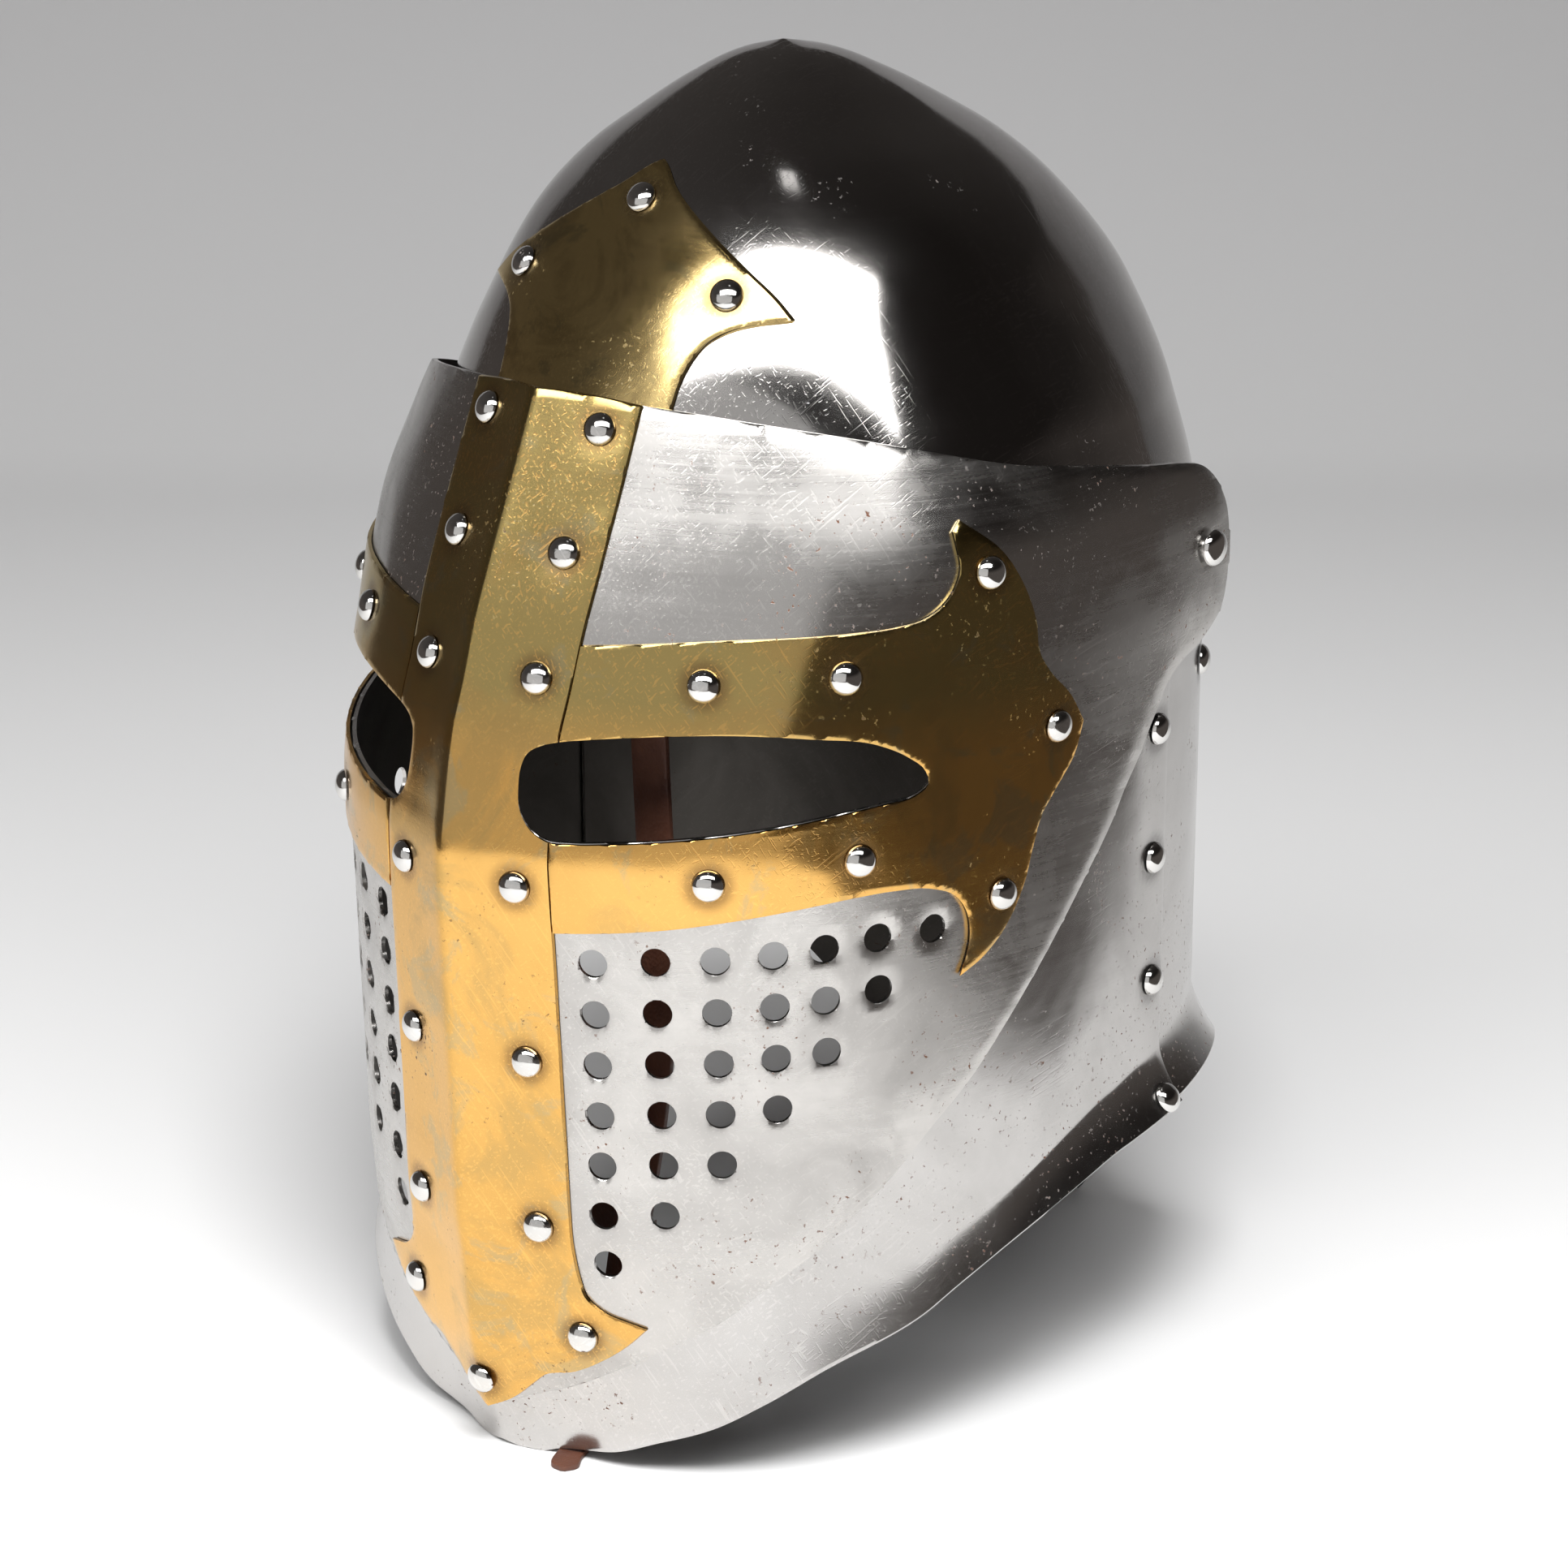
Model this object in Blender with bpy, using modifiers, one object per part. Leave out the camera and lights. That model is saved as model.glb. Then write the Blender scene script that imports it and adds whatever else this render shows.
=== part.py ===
"""Sugarloaf great helm with a pivoting visor: steel plates, a pierced brass cross, rivets and a leather chin strap.

Metres, +Z up. The face looks along -Y and +X is the wearer's left. Bearings are degrees round from the keel:
0 at the front crease, 90 at the widest line of the side, 180 at the middle of the back.
"""

import math

import bmesh
import bpy
import numpy as np
from mathutils import Matrix, Vector

for old in list(bpy.data.objects):
    bpy.data.objects.remove(old, do_unlink=True)

MM = 0.001

# Overall form. The skull is the innermost layer; the widths and reaches are to its outer face.
HEIGHT = 393.3 * MM
HALF_WIDTH = 111.6 * MM
BACK_REACH = 126.4 * MM
KEEL_REACH = 148.3 * MM
BROW_SPACE = 38.3 * MM
FRONT_REACH = KEEL_REACH - BROW_SPACE
CENTRE_SET_BACK = 15.0 * MM
KEEL_PINCH = 0.075
KEEL_SPREAD = 0.20
FACE_SQUARENESS = 2.3
BACK_SQUARENESS = 2.25
EAR_REACH = 190.0 * MM

# Plates and the clearances between them.
SKULL_PLATE = 1.6 * MM
BACK_PLATE = 1.6 * MM
BEVOR_PLATE = 1.6 * MM
VISOR_PLATE = 1.6 * MM
BRASS_PLATE = 1.2 * MM
SEAT_GAP = 0.35 * MM
BUTT_GAP = 0.45 * MM
VISOR_CLEARANCE = 1.0 * MM
LIP_FLARE = 8.0 * MM
FLOOR_DROP = 3.8 * MM

BACK_OUT = SEAT_GAP + BACK_PLATE
BEVOR_OUT = BACK_OUT + SEAT_GAP + BEVOR_PLATE
VISOR_OUT = BEVOR_OUT + VISOR_CLEARANCE + VISOR_PLATE
BRASS_OUT = VISOR_OUT + SEAT_GAP + BRASS_PLATE

# Rivets, breathing holes and pivots.
RIVET_RADIUS = 4.7 * MM
RIVET_HEIGHT = 2.4 * MM
HOLE_RADIUS = 4.2 * MM
HOLE_PITCH_UP = 15.35 * MM
HOLE_TOP_ROW = 156.3 * MM
PIVOT_BACK = 54.5 * MM
PIVOT_ABOVE_BACK_PLATE = 18.853 * MM
PIVOT_SHANK_RADIUS = 3.0 * MM
PIVOT_COLLAR_RADIUS = 6.5 * MM
PIVOT_BORE_CLEARANCE = 0.3 * MM
PIVOT_SEAT_GAP = 0.55 * MM
PIVOT_HEAD_RADIUS = 5.4 * MM
PIVOT_HEAD_HEIGHT = 3.0 * MM

# Leather strap.
STRAP_THICKNESS = 1.6 * MM
STRAP_WIDTH = 13.0 * MM

# Shares of HEIGHT, HALF_WIDTH, FRONT_REACH, BACK_REACH and CENTRE_SET_BACK, then the front's squareness.
SECTIONS = (
    ("height", "half_width", "front", "back", "centre", "squareness"),
    (0.0000, 0.986, 1.040, 1.000, 1.00, 2.00),
    (0.2500, 0.986, 1.040, 1.000, 1.00, 2.00),
    (0.5100, 0.987, 1.040, 1.002, 1.00, 2.00),
    (0.5600, 0.991, 1.040, 1.006, 1.00, 2.00),
    (0.6080, 0.998, 1.018, 1.006, 0.80, 2.00),
    (0.6585, 0.996, 0.970, 1.000, 0.33, 2.00),
    (0.7348, 0.912, 0.878, 0.985, 0.00, 2.00),
    (0.8111, 0.768, 0.762, 0.920, 0.00, 2.15),
    (0.8874, 0.615, 0.590, 0.710, 0.00, 2.25),
    (0.9255, 0.480, 0.481, 0.562, 0.00, 2.25),
    (0.9510, 0.352, 0.380, 0.424, 0.00, 2.25),
    (0.9760, 0.224, 0.240, 0.262, 0.00, 2.20),
    (0.9930, 0.105, 0.110, 0.120, 0.00, 2.10),
    (1.0000, 0.000, 0.000, 0.000, 0.00, 2.00),
)

# Keel of the face plates: share of HEIGHT, share of KEEL_REACH, share of KEEL_PINCH.
KEEL = (
    ("height", "reach", "pinch"),
    (0.000, 0.892, 1.00),
    (0.030, 0.905, 1.00),
    (0.082, 0.936, 1.00),
    (0.145, 0.951, 1.00),
    (0.188, 0.967, 1.00),
    (0.257, 0.974, 1.00),
    (0.366, 0.989, 1.00),
    (0.465, 1.000, 1.00),
    (0.500, 0.988, 1.00),
    (0.557, 0.959, 1.05),
    (0.590, 0.928, 1.10),
    (0.633, 0.892, 1.15),
    (0.676, 0.845, 1.20),
    (0.720, 0.794, 1.20),
    (0.758, 0.751, 1.20),
    (0.800, 0.705, 1.20),
)

# Side outline of the visor: shares of KEEL_REACH back from the axis (minus is forward) and of HEIGHT.
VISOR_RIM = (("back", "height"),
    (-1.200, 0.7870), (-0.720, 0.7863), (-0.694, 0.7844), (-0.671, 0.7824), (-0.650, 0.7800), (-0.620, 0.7775), (-0.566, 0.7726),
    (-0.441, 0.7609), (-0.309, 0.7472), (-0.174, 0.7335), (0.012, 0.7218), (0.198, 0.7101), (0.335, 0.7023), (0.368, 0.6990),
    (0.410, 0.6866), (0.430, 0.6729), (0.443, 0.6573), (0.449, 0.6280),
)
VISOR_LOWER_EDGE = (("back", "height"),
    (0.443, 0.6050), (0.427, 0.5869), (0.389, 0.5745), (0.346, 0.5654), (0.280, 0.5565), (0.234, 0.5440), (0.205, 0.5283), (0.176, 0.5130),
    (0.146, 0.4960), (0.100, 0.4750), (0.073, 0.4598), (-0.019, 0.4188), (-0.236, 0.3250), (-0.309, 0.2937), (-0.411, 0.2560),
    (-0.480, 0.2270), (-0.550, 0.2005), (-0.597, 0.1810), (-0.684, 0.1460), (-0.725, 0.1260), (-0.801, 0.0930), (-0.835, 0.0715),
    (-0.854, 0.0545), (-0.872, 0.0415), (-0.888, 0.0310), (-1.200, 0.0250),
)

# Edges of the lower plates: bearing, then shares of HEIGHT.
BEVOR_EDGES = (
    ("bearing", "lower", "crease", "upper"),
    (0.0, -0.0065, 0.060, 0.086),
    (3.5, -0.0110, 0.062, 0.088),
    (7.0, -0.0047, 0.066, 0.092),
    (14.0, 0.0018, 0.080, 0.105),
    (22.0, 0.0185, 0.100, 0.125),
    (30.0, 0.0345, 0.118, 0.145),
    (38.0, 0.0570, 0.136, 0.168),
    (47.0, 0.0830, 0.148, 0.190),
    (60.5, 0.1122, 0.158, 0.234),
    (66.0, 0.1300, 0.168, 0.275),
    (72.0, 0.1475, 0.182, 0.315),
    (78.0, 0.1645, 0.199, 0.371),
    (85.0, 0.1835, 0.221, 0.452),
    (90.0, 0.1960, 0.236, 0.498),
    (96.0, 0.2040, 0.247, 0.545),
    (101.5, 0.2090, 0.251, 0.565),
)
BACK_EDGES = (("bearing", "lower", "crease", "upper"),
    (96.0, 0.2040, 0.247, 0.556),
    (101.5, 0.2090, 0.251, 0.575),
    (112.0, 0.2150, 0.258, 0.590),
    (120.0, 0.2170, 0.262, 0.590),
    (129.0, 0.2140, 0.260, 0.590),
    (138.0, 0.1800, 0.236, 0.590),
    (147.0, 0.1300, 0.186, 0.590),
    (156.0, 0.0750, 0.131, 0.590),
    (165.0, 0.0180, 0.076, 0.590),
    (171.0, -0.0110, 0.050, 0.590),
    (180.0, -0.0110, 0.050, 0.590),
)
# How far the lip of the lower plates turns out at each bearing: share of LIP_FLARE.
LIP = (("bearing", "turn_out"), (0.0, 0.0), (8.0, 0.10), (20.0, 0.55), (40.0, 0.65), (56.0, 0.50), (70.0, 0.45), (85.0, 0.75), (100.0, 1.0), (180.0, 1.0))
SKULL_LOWER_EDGE = (("bearing", "height"), (0.0, 0.602), (66.0, 0.602), (80.0, 0.560), (94.0, 0.524), (180.0, 0.524))

# Right half of the brass, wearer's left: share of HALF_WIDTH out from the keel and share of HEIGHT.
UPRIGHT_OUTLINE = (("out", "height"),
    (0.0, 0.7860), (0.080, 0.7852), (0.160, 0.7835), (0.274, 0.7795), (0.277, 0.7316), (0.277, 0.6600), (0.272, 0.5967),
    (0.270, 0.5400), (0.273, 0.4853), (0.279, 0.4168), (0.281, 0.3504), (0.283, 0.2624), (0.287, 0.1998), (0.289, 0.1725), (0.296, 0.1490),
    (0.308, 0.1353), (0.351, 0.1236), (0.410, 0.1177), (0.454, 0.1138), (0.403, 0.0982), (0.343, 0.0845), (0.265, 0.0715),
    (0.180, 0.0640), (0.145, 0.0552), (0.070, 0.0365), (0.0, 0.0260),
)
SKULL_FINIAL_OUTLINE = (("out", "height"),
    (0.0, 0.9290), (0.015, 0.9269), (0.081, 0.9131), (0.186, 0.8950), (0.267, 0.8814), (0.365, 0.8641), (0.451, 0.8468),
    (0.497, 0.8345), (0.430, 0.8318), (0.373, 0.8266), (0.330, 0.8180), (0.306, 0.8047), (0.294, 0.7903), (0.291, 0.7748), (0.291, 0.7450), (0.0, 0.7450),
)
# Brass arm: bearing round from the keel and share of HEIGHT, all the way round its outline.
ARM_OUTLINE = (("bearing", "height"),
    (9.0, 0.6190), (21.3, 0.6260), (31.8, 0.6310), (40.0, 0.6328), (48.1, 0.6345), (54.4, 0.6365), (58.2, 0.6405), (60.4, 0.6480),
    (61.9, 0.6600), (62.4, 0.6729), (62.0, 0.6850), (61.6, 0.6970), (62.8, 0.7042), (69.0, 0.6788), (72.0, 0.6560), (74.5, 0.6280), (75.7, 0.6006),
    (77.4, 0.5869), (81.2, 0.5635), (83.3, 0.5420), (82.4, 0.5205), (79.5, 0.4950), (77.8, 0.4794), (76.8, 0.4598), (75.3, 0.4286),
    (72.4, 0.3992), (69.5, 0.3836), (66.5, 0.3738), (67.4, 0.3875), (67.9, 0.4051), (67.2, 0.4247), (65.7, 0.4364), (62.8, 0.4442),
    (57.3, 0.4475), (52.3, 0.4462), (44.8, 0.4415), (36.4, 0.4350), (27.6, 0.4280), (9.0, 0.4165),
)
# Eye slit: share of HALF_WIDTH out from the keel and share of HEIGHT, round its outline.
SLIT_OUTLINE = (("out", "height"),
    (0.190, 0.5465), (0.222, 0.5525), (0.261, 0.5560), (0.328, 0.5595), (0.476, 0.5650), (0.634, 0.5675), (0.779, 0.5635), (0.874, 0.5556),
    (0.913, 0.5439), (0.933, 0.5320), (0.937, 0.5224), (0.924, 0.5150), (0.888, 0.5115), (0.835, 0.5077), (0.744, 0.5015), (0.656, 0.4970),
    (0.531, 0.4920), (0.400, 0.4878), (0.318, 0.4857), (0.260, 0.4860), (0.218, 0.4925), (0.188, 0.5048), (0.177, 0.5230), (0.178, 0.5370),
)
# Columns of breathing holes: share of HALF_WIDTH out from the keel, how many holes hang in each, and how far
# its top hole stands above the first column's as a share of HEIGHT.
HOLE_COLUMNS = (
    ("out", "holes", "rise"),
    (0.368, 7, 0.0000), (0.511, 6, 0.0045), (0.632, 5, 0.0065), (0.735, 4, 0.0095), (0.814, 3, 0.0117), (0.885, 2, 0.0152), (0.946, 1, 0.0152),
)

# Rivets on the brass of each side: share of HALF_WIDTH out from the keel and share of HEIGHT.
UPRIGHT_RIVETS = (("out", "height"),
    (0.190, 0.7629), (0.181, 0.6808), (0.183, 0.5967), (0.190, 0.4501), (0.198, 0.3171), (0.207, 0.1881), (0.297, 0.1021),
)
ARM_RIVETS = (("out", "height"),
    (0.575, 0.6006), (0.828, 0.6045), (0.631, 0.4618), (0.872, 0.4735),
)
ARM_FINIAL_RIVETS = (("bearing", "height"), (66.9, 0.6671), (79.5, 0.5439), (72.4, 0.4286))
KEEL_RIVET_HEIGHT = 0.0513 * HEIGHT
SKULL_RIVETS = (("out", "height"), (0.0, 0.9022), (0.342, 0.8474))
# Rivets down the seam of each side and on the back plate: bearing and share of HEIGHT.
SEAM_RIVETS = (("bearing", "height"), (98.4, 0.5069), (98.0, 0.4068), (98.3, 0.3090), (98.8, 0.2155))
BACK_RIVET = (("bearing", "height"), (121.5, 0.5290))

# Mesh lines shared by the layers, so that facing plates have matching facets.
FACE_COLUMNS = (0, 7, 14, 22, 30, 38, 46, 54, 62, 70, 77, 84, 90)
EAR_COLUMNS = (93.5, 97.5, 102, 107)
BACK_COLUMNS = (96, 101.5, 111, 120.5, 130, 140, 150, 160.5, 171, 180)
SKULL_COLUMNS = (0, 11, 22, 33, 44, 55, 67, 79, 90)
FACE_ROWS = (0.020, 0.065, 0.130, 0.195, 0.265, 0.335, 0.405, 0.465, 0.500, 0.545, 0.590, 0.635, 0.670, 0.730, 0.800)
SKULL_ROWS = (0.9950, 0.9840, 0.9660, 0.9400, 0.9120, 0.8800, 0.8450, 0.8111, 0.7730, 0.7348, 0.6960, 0.6585)


def column(table, name):
    k = table[0].index(name)
    return np.array([row[k] for row in table[1:]], dtype=float)


def curve(table, along, name):
    """Monotone cubic through two columns of a table."""
    x, y = column(table, along), column(table, name)
    h, d = np.diff(x), np.diff(y) / np.diff(x)
    m = np.concatenate([[d[0]], np.zeros(len(d) - 1), [d[-1]]])
    for i in range(1, len(d)):
        if d[i - 1] * d[i] > 0:
            a, b = 2 * h[i] + h[i - 1], h[i] + 2 * h[i - 1]
            m[i] = (a + b) / (a / d[i - 1] + b / d[i])

    def value(at):
        at = min(max(at, x[0]), x[-1])
        i = min(int(np.searchsorted(x, at, side="right")) - 1, len(h) - 1)
        t = (at - x[i]) / h[i]
        return float((2 * t**3 - 3 * t**2 + 1) * y[i] + (t**3 - 2 * t**2 + t) * h[i] * m[i]
                     + (3 * t**2 - 2 * t**3) * y[i + 1] + (t**3 - t**2) * h[i] * m[i + 1])
    return value


half_width = curve(SECTIONS, "height", "half_width")
front_reach = curve(SECTIONS, "height", "front")
back_reach = curve(SECTIONS, "height", "back")
centre = curve(SECTIONS, "height", "centre")
squareness = curve(SECTIONS, "height", "squareness")
keel_reach = curve(KEEL, "height", "reach")
keel_pinch = curve(KEEL, "height", "pinch")
turn_out = curve(LIP, "bearing", "turn_out")


def skull_point(bearing, share, out=0.0):
    """Point of the skull's outer face, moved out by a distance in plan."""
    s, c = math.sin(math.radians(abs(bearing))), math.cos(math.radians(bearing))
    yc = centre(share) * CENTRE_SET_BACK
    w = half_width(share) * HALF_WIDTH + out
    if c >= 0:
        n, reach = squareness(share), front_reach(share) * FRONT_REACH + yc + out
    else:
        n, reach = BACK_SQUARENESS, back_reach(share) * BACK_REACH - yc + out
    x = w * abs(s) ** (2 / n)
    y = yc - math.copysign(reach * abs(c) ** (2 / n), c)
    return Vector((math.copysign(x, bearing), y, share * HEIGHT))


def face_point(bearing, share, out, ear=False):
    """Point of a face or neck plate whose outer face stands a distance out from the skull."""
    s, c = math.sin(math.radians(abs(bearing))), math.cos(math.radians(bearing))
    w = half_width(share) * HALF_WIDTH + out
    if c >= 0:
        reach = keel_reach(share) * KEEL_REACH + CENTRE_SET_BACK + out - VISOR_OUT
        u = s ** (2 / FACE_SQUARENESS)
        pinch = KEEL_PINCH * keel_pinch(share) * (1 - math.exp(-u / KEEL_SPREAD))
        x, y = w * u, CENTRE_SET_BACK - reach * c ** (2 / FACE_SQUARENESS) * (1 - pinch)
    else:
        reach = EAR_REACH if ear else back_reach(share) * BACK_REACH - CENTRE_SET_BACK + out
        x, y = w * s ** (2 / BACK_SQUARENESS), CENTRE_SET_BACK + reach * (-c) ** (2 / BACK_SQUARENESS)
    return Vector((math.copysign(x, bearing), y, share * HEIGHT))


def bearing_at(out_share, share, out, point=face_point):
    """Bearing at which a surface is a given share of HALF_WIDTH out from the keel."""
    low, high = 0.0, 90.0
    for _ in range(40):
        mid = (low + high) / 2
        if point(mid, share, out).x < out_share * HALF_WIDTH:
            low = mid
        else:
            high = mid
    return low


def normal_at(point, bearing, share, out):
    a = point(bearing + 0.5, share, out) - point(bearing - 0.5, share, out)
    b = point(bearing, share + 0.004, out) - point(bearing, share - 0.004, out)
    return a.cross(b).normalized()


def raised_skull_point(bearing, share, out):
    """Point standing a distance square off the skull's outer face."""
    return skull_point(bearing, share) + normal_at(skull_point, bearing, share, 0.0) * out


def mirrored(columns):
    return [-b for b in reversed(columns) if b > 0] + list(columns)


parts = bpy.data.collections.new("sugarloaf_helmet")
cutters = bpy.data.collections.new("cutters")
bpy.context.scene.collection.children.link(parts)
bpy.context.scene.collection.children.link(cutters)


def material(name, colour, metallic, roughness):
    mat = bpy.data.materials.new(name)
    mat.use_nodes = True
    shader = mat.node_tree.nodes["Principled BSDF"]
    shader.inputs["Base Color"].default_value = (*colour, 1.0)
    shader.inputs["Metallic"].default_value = metallic
    shader.inputs["Roughness"].default_value = roughness
    return mat


STEEL = material("steel", (0.56, 0.57, 0.58), 1.0, 0.22)
BRASS = material("brass", (0.72, 0.48, 0.17), 1.0, 0.25)
RIVET = material("rivet_steel", (0.66, 0.67, 0.68), 1.0, 0.15)
LEATHER = material("leather", (0.20, 0.09, 0.045), 0.0, 0.6)


def add_object(name, mesh, mat, where=parts):
    obj = bpy.data.objects.new(name, mesh)
    where.objects.link(obj)
    if mat and not mesh.materials:
        mesh.materials.append(mat)
    return obj


def surface(name, rows, closed=False, pole=None):
    """Mesh of an open surface from rows of points, each row running round with rising bearing, top row first."""
    bm = bmesh.new()
    grid = [[bm.verts.new(p) for p in row] for row in rows]
    for upper, lower in zip(grid, grid[1:]):
        n = len(upper)
        for i in range(n if closed else n - 1):
            j = (i + 1) % n
            bm.faces.new((upper[i], lower[i], lower[j], upper[j]))
    if pole is not None:
        top = bm.verts.new(pole)
        for i in range(len(grid[0])):
            bm.faces.new((top, grid[0][i], grid[0][(i + 1) % len(grid[0])]))
    mesh = bpy.data.meshes.new(name)
    bm.to_mesh(mesh)
    bm.free()
    return mesh


def add_thickness(obj, thickness):
    mod = obj.modifiers.new("thickness", 'SOLIDIFY')
    mod.thickness = thickness
    mod.offset = -1.0
    mod.use_even_offset = True
    return mod


def add_boolean(obj, cutter, operation):
    mod = obj.modifiers.new(cutter.name, 'BOOLEAN')
    mod.operation = operation
    mod.solver = 'EXACT'
    mod.object = cutter
    return mod


def as_cutter(obj):
    obj.hide_render = True
    obj.display_type = 'WIRE'
    return obj


def prism(name, outline, direction, near, far):
    """Cutter from a closed outline swept straight along a level direction; outline is (across, up)."""
    direction = Vector(direction).normalized()
    across = Vector((-direction.y, direction.x, 0.0))
    bm = bmesh.new()
    ring = [bm.verts.new(across * a + Vector((0, 0, z)) + direction * near) for a, z in outline]
    face = bm.faces.new(ring)
    swept = bmesh.ops.extrude_face_region(bm, geom=[face])
    moved = [v for v in swept["geom"] if isinstance(v, bmesh.types.BMVert)]
    bmesh.ops.translate(bm, verts=moved, vec=direction * (far - near))
    bmesh.ops.triangulate(bm, faces=[f for f in bm.faces if len(f.verts) > 4])
    bmesh.ops.recalc_face_normals(bm, faces=bm.faces)
    mesh = bpy.data.meshes.new(name)
    bm.to_mesh(mesh)
    bm.free()
    return as_cutter(add_object(name, mesh, None, cutters))


def across_of(p, direction):
    direction = Vector(direction).normalized()
    return -direction.y * p.x + direction.x * p.y


def smooth_by_angle(obj, degrees=35):
    obj.data.shade_smooth()
    obj.data.set_sharp_from_angle(angle=math.radians(degrees))


floor_half = 1.5 * KEEL_REACH
floor_outline = [(-floor_half, -FLOOR_DROP), (floor_half, -FLOOR_DROP), (floor_half, -3 * FLOOR_DROP), (-floor_half, -3 * FLOOR_DROP)]
floor_cutter = prism("floor_cut", floor_outline, (0, 1, 0), -floor_half, floor_half)

# Skull: one raised plate from the point down behind the visor and the neck plates.
skull_columns = SKULL_COLUMNS[:-1] + (90,) + BACK_COLUMNS
ring = mirrored(skull_columns)[1:]
skull_edge = curve(SKULL_LOWER_EDGE, "bearing", "height")
rows = [[skull_point(b, share) for b in ring] for share in SKULL_ROWS]
for step in (0.5, 1.0):
    rows.append([skull_point(b, SKULL_ROWS[-1] + (skull_edge(abs(b)) - SKULL_ROWS[-1]) * step) for b in ring])
skull = add_object("skull", surface("skull", rows, closed=True, pole=skull_point(0, 1.0)), STEEL)
add_thickness(skull, SKULL_PLATE)
smooth_by_angle(skull)


def lipped(edges):
    """Point function of a neck plate whose lip turns out below its crease."""
    lower, crease = curve(edges, "bearing", "lower"), curve(edges, "bearing", "crease")

    def point(b, share, out):
        a = abs(b)
        drop = max(0.0, (crease(a) - share) / (crease(a) - lower(a)))
        return face_point(b, share, out + LIP_FLARE * turn_out(a) * drop ** 1.5)
    return point


def lower_plate(name, columns, edges, out, thickness):
    """Neck plate between a lower and an upper edge, its lip turned out below a crease and cut level at the floor."""
    lower, crease, upper = (curve(edges, "bearing", key) for key in ("lower", "crease", "upper"))
    point = lipped(edges)
    rows = []
    for step in (1.0, 0.75, 0.5, 0.25, 0.0):
        rows.append([point(b, crease(abs(b)) + (upper(abs(b)) - crease(abs(b))) * step, out) for b in columns])
    for step in (0.5, 1.0):
        rows.append([point(b, crease(abs(b)) + (lower(abs(b)) - crease(abs(b))) * step, out) for b in columns])
    obj = add_object(name, surface(name, rows), STEEL)
    add_thickness(obj, thickness)
    add_boolean(obj, floor_cutter, 'DIFFERENCE')
    smooth_by_angle(obj)
    return obj


# Back plate: wraps the nape between the side seams, its lip turned out, and carries the helm's back when it stands.
back_ring = list(BACK_COLUMNS) + [-b for b in reversed(BACK_COLUMNS[:-1])]
back_plate = lower_plate("back_plate", back_ring, BACK_EDGES, BACK_OUT, BACK_PLATE)

# Bevor: chin plate from seam to seam, lapped over the back plate at its rear edges.
bevor = lower_plate("bevor", mirrored((0, 3.5) + FACE_COLUMNS[1:] + (96, 101.5)), BEVOR_EDGES, BEVOR_OUT, BEVOR_PLATE)

# Visor: keeled face plate with rounded ears, pierced with slits and breathing holes.
visor_columns = mirrored(FACE_COLUMNS + EAR_COLUMNS)
visor_rows = [[face_point(b, share, VISOR_OUT, ear=True) for b in visor_columns] for share in reversed(FACE_ROWS)]
visor = add_object("visor", surface("visor", visor_rows), STEEL)
add_thickness(visor, VISOR_PLATE)
smooth_by_angle(visor)

visor_outline = [(back * KEEL_REACH, up * HEIGHT) for back, up in VISOR_RIM[1:] + VISOR_LOWER_EDGE[1:]]
outline_cutter = prism("visor_outline", visor_outline, (1, 0, 0), -2 * HALF_WIDTH, 2 * HALF_WIDTH)
add_boolean(visor, outline_cutter, 'INTERSECT')

SLIT_DIRECTION = 45.0
ARM_DIRECTION = 52.0


def level_direction(bearing):
    return (math.sin(math.radians(bearing)), -math.cos(math.radians(bearing)), 0.0)


slit_cutters = []
for side, tag in ((1, "left"), (-1, "right")):
    direction = level_direction(side * SLIT_DIRECTION)
    outline = []
    for out_share, up in SLIT_OUTLINE[1:]:
        p = face_point(side * bearing_at(out_share, up, VISOR_OUT), up, VISOR_OUT)
        outline.append((across_of(p, direction), p.z))
    slit_cutters.append(prism("slit_" + tag, outline, direction, 0.35 * KEEL_REACH, 1.5 * KEEL_REACH))
for cutter in slit_cutters:
    add_boolean(visor, cutter, 'DIFFERENCE')

bm = bmesh.new()
for out_share, count, rise in HOLE_COLUMNS[1:]:
    for k in range(count):
        up = rise + (HOLE_TOP_ROW - k * HOLE_PITCH_UP) / HEIGHT
        for side in (1, -1):
            b = side * bearing_at(out_share, up, VISOR_OUT)
            p, n = face_point(b, up, VISOR_OUT), normal_at(face_point, b, up, VISOR_OUT)
            turn = n.to_track_quat('Z', 'Y').to_matrix().to_4x4()
            bmesh.ops.create_cone(bm, cap_ends=True, segments=8, radius1=HOLE_RADIUS, radius2=HOLE_RADIUS,
                                  depth=12 * VISOR_PLATE, matrix=Matrix.Translation(p) @ turn)
mesh = bpy.data.meshes.new("breathing_holes")
bm.to_mesh(mesh)
bm.free()
holes = as_cutter(add_object("breathing_holes", mesh, None, cutters))
add_boolean(visor, holes, 'DIFFERENCE')

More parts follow.
